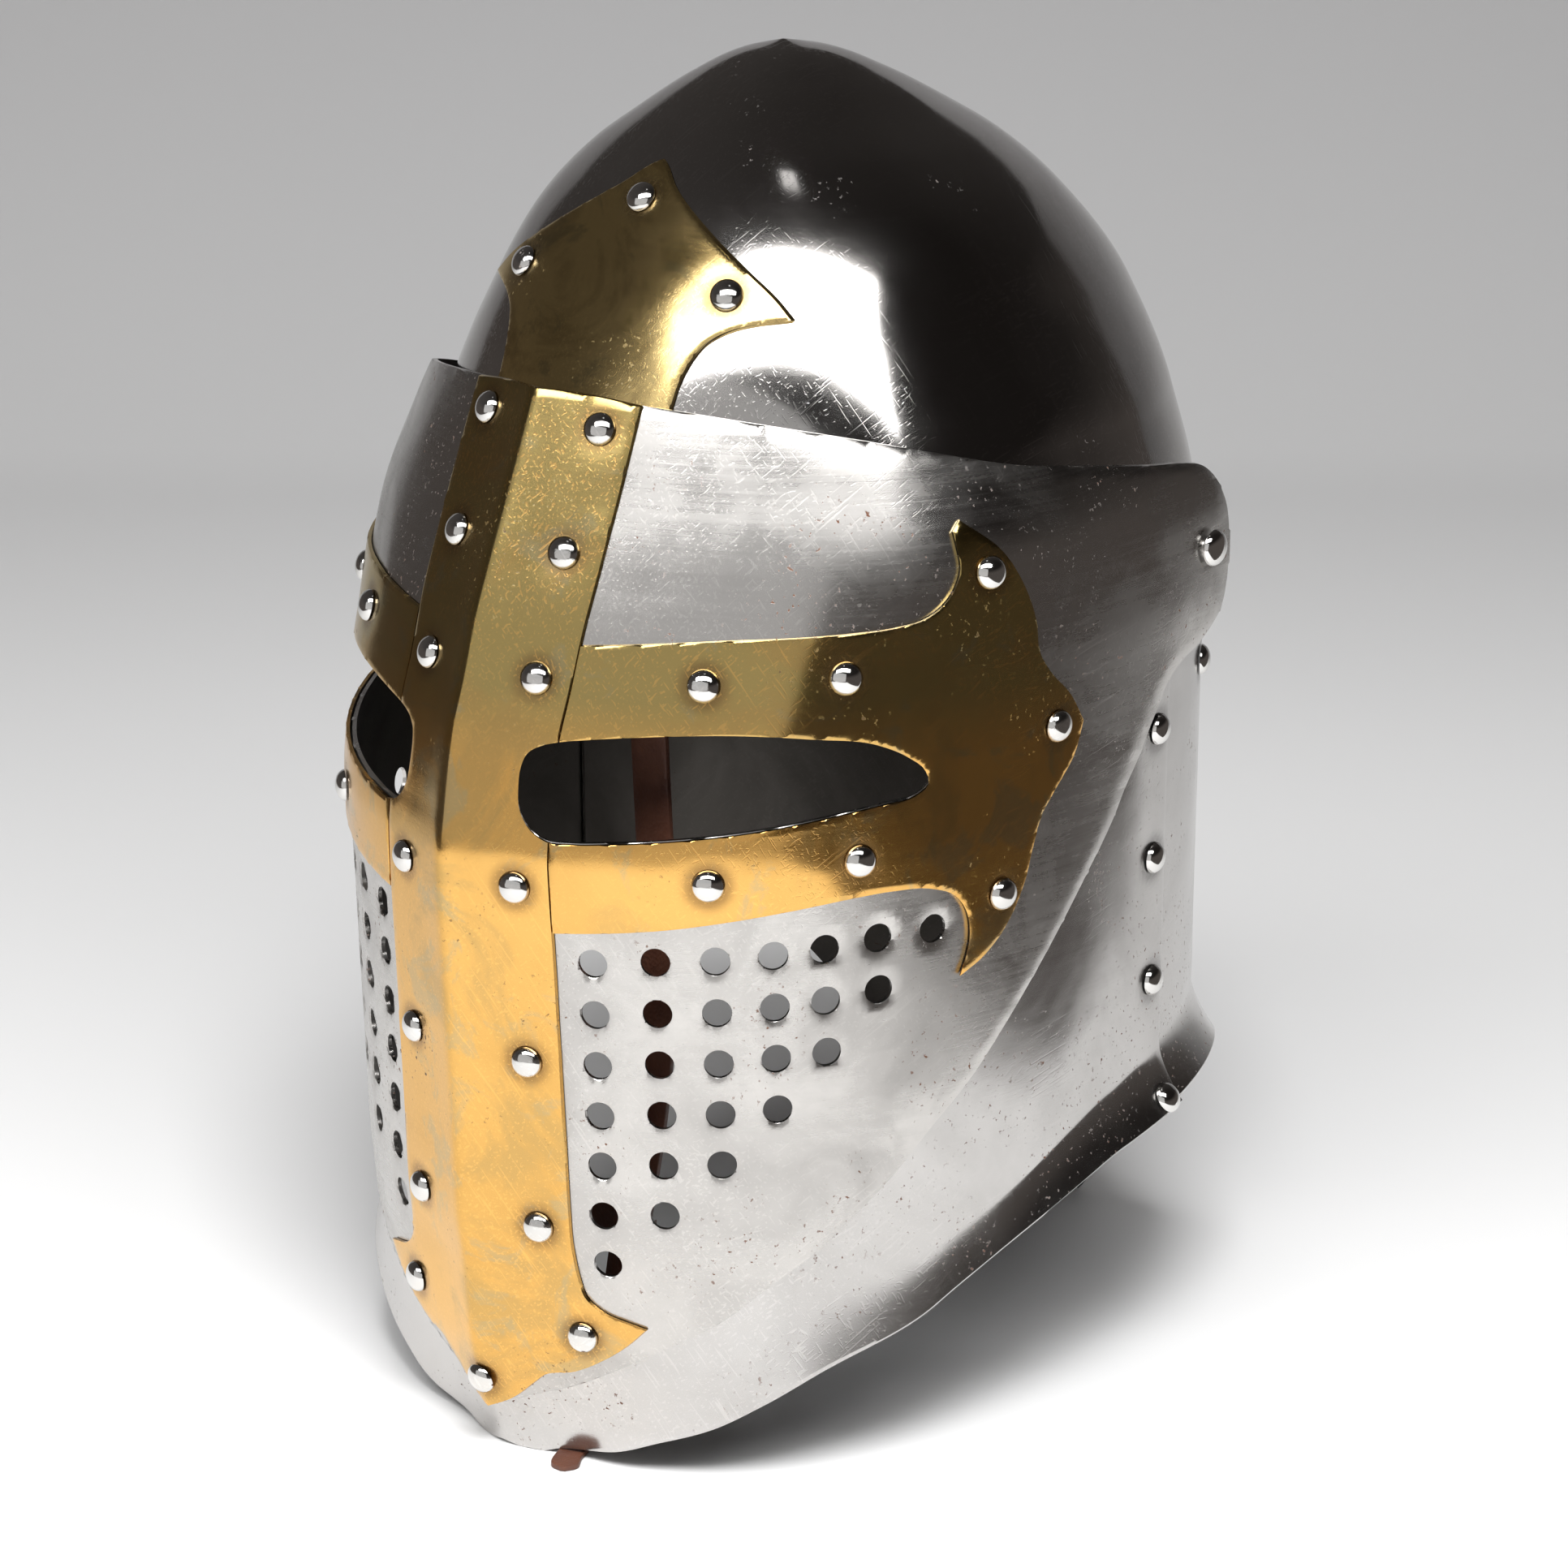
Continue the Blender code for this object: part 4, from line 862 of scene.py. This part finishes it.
# Brass arm: bearing round from the keel and share of HEIGHT, all the way round its outline.
ARM_OUTLINE = (
    ("bearing", "height"),
    (9.0, 0.619), (21.3, 0.626), (31.8, 0.631), (40.0, 0.6328),
    (48.1, 0.6345), (54.4, 0.6365), (58.2, 0.6405), (60.4, 0.648),
    (61.9, 0.66), (62.4, 0.6729), (62.0, 0.685), (61.6, 0.697), (62.8, 0.7042),
    (69.0, 0.6788), (72.0, 0.656), (74.5, 0.628), (75.7, 0.6006),
    (77.4, 0.5869), (81.2, 0.5635), (83.3, 0.542), (82.4, 0.5205),
    (79.5, 0.495), (77.8, 0.4794), (76.8, 0.4598), (75.3, 0.4286),
    (72.4, 0.3992), (69.5, 0.3836), (66.5, 0.3738), (67.4, 0.3875),
    (67.9, 0.4051), (67.2, 0.4247), (65.7, 0.4364), (62.8, 0.4442),
    (57.3, 0.4475), (52.3, 0.4462), (44.8, 0.4415), (36.4, 0.435), (27.6, 0.428), (9.0, 0.4165),
)
# Rivets on the brass of each side: share of HALF_WIDTH out from the keel and share of HEIGHT.
UPRIGHT_RIVETS = (
    ("out", "height"),
    (0.19, 0.7629), (0.181, 0.6808), (0.183, 0.5967), (0.19, 0.4501),
    (0.198, 0.3171), (0.207, 0.1881), (0.297, 0.1021),
)
ARM_RIVETS = (
    ("out", "height"),
    (0.575, 0.6006), (0.828, 0.6045), (0.631, 0.4618), (0.872, 0.4735),
)
ARM_FINIAL_RIVETS = (("bearing", "height"), (66.9, 0.6671), (79.5, 0.5439), (72.4, 0.4286))
KEEL_RIVET_SHARE = 0.0513
SKULL_RIVETS = (("out", "height"), (0.0, 0.9022), (0.342, 0.8474))
SKULL_BRASS_OUT = SEAT_GAP + BRASS_PLATE


def raised_skull_point(bearing, share, out):
    """Point standing a distance square off the skull's outer face."""
    return skull_point(bearing, share) + normal_at(skull_point, bearing, share, 0.0) * out


def half_outline(table, wider=0.0):
    right = [(out * HALF_WIDTH + (wider if out else 0.0), up * HEIGHT) for out, up in table[1:]]
    return right + [(-x, z) for x, z in reversed(right) if x > 0]


upright_seats = [seat_rivet("rivet_keel", face_form, 0.0, KEEL_RIVET_SHARE, BRASS_OUT)]
arm_seats = {"left": [], "right": []}
finial_form = planished(raised_skull_point)
finial_seats = [seat_rivet("rivet_skull_top", finial_form, 0.0, SKULL_RIVETS[1][1], SKULL_BRASS_OUT)]
for side, tag in SIDES:
    for k, (out_share, up) in enumerate(UPRIGHT_RIVETS[1:], 1):
        b = side * bearing_at(out_share, up, BRASS_OUT)
        upright_seats.append(seat_rivet(f"rivet_upright_{tag}_{k}", face_form, b, up, BRASS_OUT))
    for k, (out_share, up) in enumerate(ARM_RIVETS[1:], 1):
        b = side * bearing_at(out_share, up, BRASS_OUT)
        arm_seats[tag].append(seat_rivet(f"rivet_arm_{tag}_{k}", face_form, b, up, BRASS_OUT))
    for k, (b, up) in enumerate(ARM_FINIAL_RIVETS[1:], len(ARM_RIVETS)):
        arm_seats[tag].append(seat_rivet(f"rivet_arm_{tag}_{k}", face_form, side * b, up, BRASS_OUT))
    out_share, up = SKULL_RIVETS[2]
    b = side * bearing_at(out_share, up, SKULL_BRASS_OUT, raised_skull_point)
    finial_seats.append(seat_rivet(f"rivet_skull_{tag}", finial_form, b, up, SKULL_BRASS_OUT))

# Both brasses darken round their rivet heads in their second tarnish colour: dirt and painted shade.
face_brass = metal("face_brass", (0.76, 0.44, 0.13), (0.60, 0.34, 0.095), (0.10, 0.06, 0.025), 0.09,
                   smears=0.09, brushing=0.2, waves=0.25, pits=0.42, scratches=0.75,
                   tarnish=((0.50, 0.33, 0.12), (0.20, 0.115, 0.05), (0.42, 0.37, 0.22)),
                   # Painted shade: the face brass turns darker and more olive above this height.
                   painted_shade_above=(0.215, 0.235, (0.46, 0.345, 0.13)))
skull_brass = metal("skull_brass", (0.80, 0.60, 0.26), (0.58, 0.43, 0.19), (0.08, 0.05, 0.03), 0.12,
                    smears=0.09, brushing=0.2, waves=0.25, pits=0.40, scratches=0.6,
                    tarnish=((0.36, 0.25, 0.10), (0.14, 0.09, 0.05), (0.30, 0.26, 0.14)))
upright_form = dimpled(face_form, upright_seats)


def on_upright(u, v):
    t = 2 * u - 1
    return upright_form(math.copysign(UPRIGHT_BEARING * abs(t) ** 1.3, t), BLANK_LOW + BLANK_RISE * v, BRASS_OUT)


upright_plate = plate("upright_plate", 90, 190, on_upright, BRASS_PLATE, face_brass)
upright_cutter = prism(fair(half_outline(UPRIGHT_OUTLINE)), (0, 1, 0), -1.5 * KEEL_REACH, 0.0)
arm_stop = prism(fair(half_outline(UPRIGHT_OUTLINE, BUTT_GAP)), (0, 1, 0), -1.5 * KEEL_REACH, 0.0)
cut(upright_plate, upright_cutter, 'INTERSECT')
for cutter in slit_cutters:
    cut(upright_plate, cutter)
eased(upright_plate, BRASS_EDGE)
finished(upright_plate, None, "visor", "cross_upright", seats=upright_seats)

for side, tag in SIDES:
    arm_form = dimpled(face_form, arm_seats[tag])

    def on_arm(u, v):
        return arm_form(side * (5 + 83 * u), 0.365 + 0.350 * v, BRASS_OUT)

    arm_plate = plate("arm_plate_" + tag, 130, 120, on_arm, BRASS_PLATE, face_brass)
    direction = level_direction(side * ARM_DIRECTION)
    outline = []
    for b, up in ARM_OUTLINE[1:]:
        p = face_point(side * b, up, BRASS_OUT)
        outline.append((across_of(p, direction), p.z))
    arm_cutter = prism(fair(outline), direction, 0.25 * KEEL_REACH, 1.5 * KEEL_REACH)
    cut(arm_plate, arm_cutter, 'INTERSECT')
    cut(arm_plate, slit_cutters[0 if side > 0 else 1])
    cut(arm_plate, arm_stop)
    scrap(arm_cutter)
    eased(arm_plate, BRASS_EDGE)
    finished(arm_plate, None, "visor", "cross_arm_" + tag, seats=arm_seats[tag])

top_form = dimpled(finial_form, finial_seats)


def on_finial(u, v):
    return top_form(-50 + 100 * u, 0.735 + 0.205 * v, SKULL_BRASS_OUT)


finial_plate = plate("finial_plate", 110, 90, on_finial, BRASS_PLATE, skull_brass)
finial_cutter = prism(fair(half_outline(SKULL_FINIAL_OUTLINE)), (0, 1, 0), -1.5 * KEEL_REACH, 0.0)
cut(finial_plate, finial_cutter, 'INTERSECT')
eased(finial_plate, BRASS_EDGE)
scrap(upright_cutter, arm_stop, finial_cutter, *slit_cutters)
finished(finial_plate, None, "helm", "cross_finial_skull", seats=finial_seats)

# Rivets
# Domed steel heads, set cold and then polished. The same head holds the brass to the visor and the skull, the
# bevor to the back plate, and two more stand alone on the back plate.

RIVET_HEIGHT = 3.0 * MM
RIVET_EDGE = 0.12 * MM
RIVET_UNDERCUT = 0.25 * MM


def domed(along, radius, height, rim_tilt=0, steps=9):
    """Profile of a domed head from its widest ring to its top, as (along, radius) pairs."""
    sine, cosine = math.sin(math.radians(rim_tilt)), math.cos(math.radians(rim_tilt))
    tilts = [math.radians(rim_tilt + (90 - rim_tilt) * k / steps) for k in range(1, steps)]
    rise = [(along + height * (math.sin(t) - sine) / (1 - sine), radius * math.cos(t) / cosine) for t in tilts]
    return rise + [(along + height, 0.0)]


def turned(name, profile, steps=40):
    """Round piece turned about +X from (along, radius) pairs."""
    def place(u, v):
        k = min(int(v * (len(profile) - 1) + 1e-6), len(profile) - 2)
        t = v * (len(profile) - 1) - k
        along, radius = (profile[k][i] * (1 - t) + profile[k + 1][i] * t for i in (0, 1))
        return (along, radius * math.cos(2 * math.pi * u), radius * math.sin(2 * math.pi * u))
    return formed_sheet(name, steps, len(profile) - 1, place)


rivet_steel = metal("rivet_steel", (0.74, 0.73, 0.71), (0.60, 0.585, 0.56), (0.2, 0.1, 0.05), 0.07,
                    smears=0.06, brushing=0.05, waves=0.05, pits=0.1, scratches=0.3)
dome = [(0.0, 0.0), (0.0, RIVET_RADIUS - RIVET_UNDERCUT), (RIVET_EDGE, RIVET_RADIUS)]
dome += domed(RIVET_EDGE, RIVET_RADIUS, RIVET_HEIGHT - RIVET_EDGE, rim_tilt=6, steps=10)
head = turned("rivet_head", dome)
for name, (seat, facing) in rivet_seats.items():
    one = head.copy()
    one.data = head.data.copy()
    bpy.context.scene.collection.objects.link(one)
    one.name = one.data.name = name + "_head"
    turn = facing.to_track_quat('X', 'Z').to_matrix().to_4x4()
    one.data.transform(Matrix.Translation(seat + facing * (SEAT_GAP - SEAT_DIMPLE)) @ turn)
    on_visor_body = name.startswith(("rivet_upright", "rivet_arm", "rivet_keel"))
    finished(one, rivet_steel, "visor" if on_visor_body else "helm", name, angle=50)
scrap(head)

# Pivots
# Turned steel pins through the ears: a polished domed head outside, a shank, a collar that keeps the ear off the
# skull, and an end peened over inside.

PIVOT_COLLAR_RADIUS = 6.5 * MM
PIVOT_SEAT_GAP = 0.55 * MM
PIVOT_HEAD_RADIUS = 5.4 * MM
PIVOT_HEAD_HEIGHT = 3.0 * MM
PIVOT_HEAD_EDGE = 0.2 * MM
PEEN_THICKNESS = 1.5 * MM
PEEN_EDGE = 0.4 * MM
PEEN_UNDERCUT = 0.5 * MM
pivot_share = PIVOT_UP / HEIGHT


def side_x(back, out, point, **extra):
    """How far out a surface stands at the pivots' height, a given distance back from the axis."""
    bearing = halved(90.0, 179.0, lambda b: point(b, pivot_share, out, **extra).y < back)
    return point(bearing, pivot_share, out, **extra).x


reach = PIVOT_COLLAR_RADIUS
skull_x = side_x(PIVOT_BACK - reach, 0.0, skull_point)
skull_inner_x = side_x(PIVOT_BACK + reach, -SKULL_PLATE, skull_point)
ear_inner_x = side_x(PIVOT_BACK + reach, VISOR_OUT - VISOR_PLATE, face_point, ear=True)
ear_outer_x = side_x(PIVOT_BACK - reach, VISOR_OUT, face_point, ear=True)
head_x = ear_outer_x + PIVOT_SEAT_GAP
peen_x = skull_inner_x - PIVOT_SEAT_GAP
profile = [
    (peen_x - PEEN_THICKNESS, 0.0),
    (peen_x - PEEN_THICKNESS, PIVOT_COLLAR_RADIUS - PEEN_UNDERCUT),
    (peen_x - PEEN_THICKNESS + PEEN_EDGE, PIVOT_COLLAR_RADIUS),
    (peen_x, PIVOT_COLLAR_RADIUS),
    (peen_x, PIVOT_SHANK_RADIUS),
    (skull_x + PIVOT_SEAT_GAP, PIVOT_SHANK_RADIUS),
    (skull_x + PIVOT_SEAT_GAP, PIVOT_COLLAR_RADIUS),
    (ear_inner_x - PIVOT_SEAT_GAP, PIVOT_COLLAR_RADIUS),
    (ear_inner_x - PIVOT_SEAT_GAP, PIVOT_SHANK_RADIUS),
    (head_x, PIVOT_SHANK_RADIUS),
    (head_x, PIVOT_HEAD_RADIUS - PIVOT_HEAD_EDGE),
    (head_x + PIVOT_HEAD_EDGE, PIVOT_HEAD_RADIUS),
]
profile += domed(head_x + PIVOT_HEAD_EDGE, PIVOT_HEAD_RADIUS, PIVOT_HEAD_HEIGHT - PIVOT_HEAD_EDGE)
for side, tag in SIDES:
    pin = turned("pivot_pin_" + tag, profile)
    if side < 0:
        pin.data.transform(Matrix.Rotation(math.pi, 4, 'Z'))
    pin.data.transform(Matrix.Translation((0, PIVOT_BACK, PIVOT_UP)))
    finished(pin, rivet_steel, "helm", "pivot_" + tag, angle=50)

# Chin strap
# Oiled leather band in two halves that hang inside the brow. One crosses under the wearer's chin, the other is
# the tongue, whose cut end pokes out under the bevor on the table.

STRAP_THICKNESS = 1.6 * MM
STRAP_WIDTH = 13.0 * MM
STRAP_EDGE = 0.35 * MM

# Shares of HALF_WIDTH out, KEEL_REACH back from the axis, HEIGHT up and STRAP_WIDTH.
TONGUE = (
    ("out", "back", "up", "width"),
    (0.285, -0.643, 0.665, 1.0), (0.285, -0.647, 0.62, 1.0),
    (0.29, -0.652, 0.55, 1.0), (0.322, -0.658, 0.38, 1.0),
    (0.3, -0.664, 0.27, 1.0), (0.23, -0.675, 0.15, 1.0),
    (0.185, -0.692, 0.055, 0.9), (0.168, -0.707, 0.014, 0.75),
    (0.168, -0.738, -0.0036, 0.65), (0.174, -0.775, -0.0069, 0.6),
    (0.198, -0.83, -0.0071, 0.6), (0.224, -0.866, -0.0071, 0.62),
    (0.236, -0.882, -0.0071, 0.12),
)
BUCKLE_SIDE = (
    ("out", "back", "up", "width"),
    (-0.285, -0.643, 0.665, 1.0), (-0.285, -0.647, 0.62, 1.0),
    (-0.29, -0.652, 0.55, 1.0), (-0.3, -0.652, 0.36, 1.0),
    (-0.25, -0.65, 0.25, 1.0), (-0.12, -0.645, 0.18, 1.0), (0.02, -0.645, 0.154, 1.0), (0.15, -0.648, 0.15, 1.0),
    (0.290, -0.650, 0.1500, 1.00),
)


def leather(name, colour, worn):
    mat = bpy.data.materials.new(name)
    mat.use_nodes = True
    tree = mat.node_tree
    nodes, links = tree.nodes, tree.links
    shader = nodes["Principled BSDF"]
    place = nodes.new('ShaderNodeTexCoord').outputs["Object"]
    pebble = nodes.new('ShaderNodeTexVoronoi')
    pebble.inputs["Scale"].default_value = 900.0
    links.new(place, pebble.inputs["Vector"])
    stain = node_above(tree, node_noise(tree, place, 60.0, 4.0, 0.6, 0.4), 0.35, 0.7)
    links.new(node_mix(tree, stain, colour, worn), shader.inputs["Base Color"])
    worn_rough = node_math(tree, 'MULTIPLY', stain, 0.18)
    links.new(node_math(tree, 'ADD', worn_rough, 0.42), shader.inputs["Roughness"])
    bump = nodes.new('ShaderNodeBump')
    bump.inputs["Distance"].default_value = 0.001
    pebbles = node_math(tree, 'MULTIPLY', pebble.outputs["Distance"], 0.12)
    creases = node_math(tree, 'MULTIPLY', node_noise(tree, place, 240.0, 4.0), 0.25)
    links.new(node_math(tree, 'ADD', pebbles, creases), bump.inputs["Height"])
    links.new(bump.outputs["Normal"], shader.inputs["Normal"])
    return mat


def band(name, table, rows):
    """Flat leather band along a fair line of points, its edges slightly rounded."""
    places = [Vector((out * HALF_WIDTH, back * KEEL_REACH, up * HEIGHT)) for out, back, up, _ in table[1:]]
    halves = []
    for i, row in enumerate(table[1:]):
        run = (places[min(i + 1, len(places) - 1)] - places[max(i - 1, 0)]).normalized()
        upright = abs(run.z) > 0.5 or abs(run.x) > abs(run.y)
        flat = Vector((run.z, 0.0, -run.x)) if upright else Vector((1.0, 0.0, 0.0))
        flat = (flat - run * flat.dot(run)).normalized()
        if flat.x < 0 or (abs(flat.x) < 0.3 and flat.z > 0):
            flat = -flat
        halves.append(flat * row[3] * STRAP_WIDTH / 2)

    def along(points, v):
        at = v * (len(points) - 1)
        k = min(int(at), len(points) - 2)
        p, q, r, s = cubic_shares(at - k)
        a, b = points[k], points[k + 1]
        m = (b - points[max(k - 1, 0)]) / (2 if k else 1)
        n = (points[min(k + 2, len(points) - 1)] - a) / (2 if k + 2 < len(points) else 1)
        return a * p + m * q + b * r + n * s

    def place(u, v):
        return along(places, v) + along(halves, v) * (2 * u - 1)

    obj = formed_sheet(name, 6, rows, place)
    solid = obj.modifiers.new("thickness", 'SOLIDIFY')
    solid.thickness = STRAP_THICKNESS
    solid.offset = 0.0
    worn_edge = obj.modifiers.new("worn_edge", 'BEVEL')
    worn_edge.width = STRAP_EDGE
    worn_edge.segments = 2
    worn_edge.angle_limit = SHARP
    picked(obj)
    bpy.ops.object.modifier_apply(modifier=solid.name)
    bpy.ops.object.modifier_apply(modifier=worn_edge.name)
    return obj


strap_leather = leather("strap_leather", (0.075, 0.026, 0.016), (0.13, 0.05, 0.028))
finished(band("strap_tongue", TONGUE, 160), strap_leather, "helm", "chin_strap_tongue", angle=40)
finished(band("strap_buckle_side", BUCKLE_SIDE, 120), strap_leather, "helm", "chin_strap_buckle_side", angle=40)

# Setting
# A white paper sweep that rises into a pale backdrop behind the helm, painted darker up the backdrop as painted
# shade where the light falls off, soft lights round the camera, and a dim room all round that is lighter on the
# left and near the level of the eye.

CAMERA = Vector((0.81411, -0.96167, 0.57954))
AZIMUTH, ELEVATION = math.radians(40.0426), math.radians(17.8648)
TABLE_FRONT, TABLE_BACK, SWEEP_RADIUS, WALL_TOP = 1.25, 1.05, 0.75, 1.25
LEFT_EDGE, RIGHT_EDGE, RIGHT_EDGE_MOST = -0.85, 0.37, 2.4
LEFT_SPREAD, RIGHT_SPREAD, SPREAD_START = 0.4, 1.5, -0.05
LENS, SENSOR = 100.62, 36.0
PAPER_NEAR, PAPER_SHADED_TOP = (0.84, 0.84, 0.84), (0.42, 0.415, 0.42)
ROOM_LEFT, ROOM_RIGHT, ROOM_LEVEL = (0.064, 0.058, 0.055), (0.014, 0.012, 0.011), (0.085, 0.074, 0.068)

# Soft lights: degrees round from the front and up, then metres and watts.
LIGHTS = (
    ("name", "azimuth", "elevation", "distance", "width", "height", "power", "target"),
    ("softbox", 34, 46, 1.2, 1.95, 0.48, 22.4, (0, -0.03, 0.36)),
    ("front_wall", 13, 12, 1.9, 3.2, 1.5, 8.6, (0, 0, 0.22)),
    ("overhead", 42, 82, 1.6, 0.16, 0.16, 0.12, (0, -0.03, 0.36)),
    ("ceiling", 46, 56, 1.7, 0.6, 0.6, 28.0, (0, 0, 0.22)),
)


def on_sweep(u, v):
    """u runs across the view from left to right, v from the near edge of the table up the backdrop."""
    flat, bend, wall = TABLE_FRONT + TABLE_BACK, SWEEP_RADIUS * math.pi / 2, WALL_TOP - SWEEP_RADIUS
    at = v * (flat + bend + wall)
    if at < flat:
        back, up = at - TABLE_FRONT, 0.0
    elif at < flat + bend:
        turn = (at - flat) / SWEEP_RADIUS
        back, up = TABLE_BACK + SWEEP_RADIUS * math.sin(turn), SWEEP_RADIUS * (1 - math.cos(turn))
    else:
        back, up = TABLE_BACK + SWEEP_RADIUS, SWEEP_RADIUS + at - flat - bend
    left = LEFT_EDGE - LEFT_SPREAD * max(0.0, back)
    right = min(RIGHT_EDGE_MOST, RIGHT_EDGE + RIGHT_SPREAD * max(0.0, back - SPREAD_START))
    across = left + (right - left) * u
    to_right = Vector((math.cos(AZIMUTH), math.sin(AZIMUTH), 0))
    away = Vector((-math.sin(AZIMUTH), math.cos(AZIMUTH), 0))
    return to_right * across + away * back + Vector((0, 0, up))


sweep = formed_sheet("backdrop", 12, 160, on_sweep)
picked(sweep)
bpy.ops.object.shade_smooth()
paper = bpy.data.materials.new("backdrop_paper")
paper.use_nodes = True
sheet = paper.node_tree
paper_shader = sheet.nodes["Principled BSDF"]
along_sheet = sheet.nodes.new('ShaderNodeSeparateXYZ')
sheet.links.new(sheet.nodes.new('ShaderNodeTexCoord').outputs["UV"], along_sheet.inputs[0])
# Painted shade: the paper's colour turns darker from the bend up the backdrop, standing in for the light falling
# off there.
painted_shade_up_wall = node_above(sheet, along_sheet.outputs["Y"], 0.60, 0.83)
sheet.links.new(node_mix(sheet, painted_shade_up_wall, PAPER_NEAR, PAPER_SHADED_TOP), paper_shader.inputs["Base Color"])
paper_shader.inputs["Roughness"].default_value = 0.7
sweep.data.materials.append(paper)

world = bpy.data.worlds.new("dim_room")
bpy.context.scene.world = world
world.use_nodes = True
room = world.node_tree
around = room.nodes.new('ShaderNodeSeparateXYZ')
room.links.new(room.nodes.new('ShaderNodeTexCoord').outputs["Generated"], around.inputs[0])
to_the_right = node_above(room, around.outputs["X"], -0.85, 0.55)
near_level = node_above(room, around.outputs["Z"], 0.34, 0.10)
upper_room = node_mix(room, to_the_right, ROOM_LEFT, ROOM_RIGHT)
room.links.new(node_mix(room, near_level, upper_room, ROOM_LEVEL), room.nodes["Background"].inputs["Color"])
room.nodes["Background"].inputs["Strength"].default_value = 1.0


def soft_light(name, azimuth, elevation, distance, width, height, power, target):
    a, e = math.radians(azimuth), math.radians(elevation)
    toward = Vector((math.sin(a) * math.cos(e), -math.cos(a) * math.cos(e), math.sin(e)))
    bpy.ops.object.light_add(type='AREA', location=Vector(target) + toward * distance)
    light = bpy.context.active_object
    light.name = name
    light.rotation_euler = toward.to_track_quat('Z', 'Y').to_euler()
    light.data.shape = 'RECTANGLE'
    light.data.size, light.data.size_y = width, height
    light.data.energy = power
    light.visible_camera = False
    light.visible_glossy = name != "ceiling"


for row in LIGHTS[1:]:
    soft_light(*row)

bpy.ops.object.camera_add(location=CAMERA)
camera = bpy.context.active_object
view = Vector((-math.sin(AZIMUTH) * math.cos(ELEVATION), math.cos(AZIMUTH) * math.cos(ELEVATION),
               -math.sin(ELEVATION)))
camera.rotation_euler = view.to_track_quat('-Z', 'Y').to_euler()
camera.data.lens, camera.data.sensor_width = LENS, SENSOR
camera.data.dof.use_dof = False
bpy.context.scene.camera = camera
bpy.context.scene.view_settings.view_transform = 'Standard'
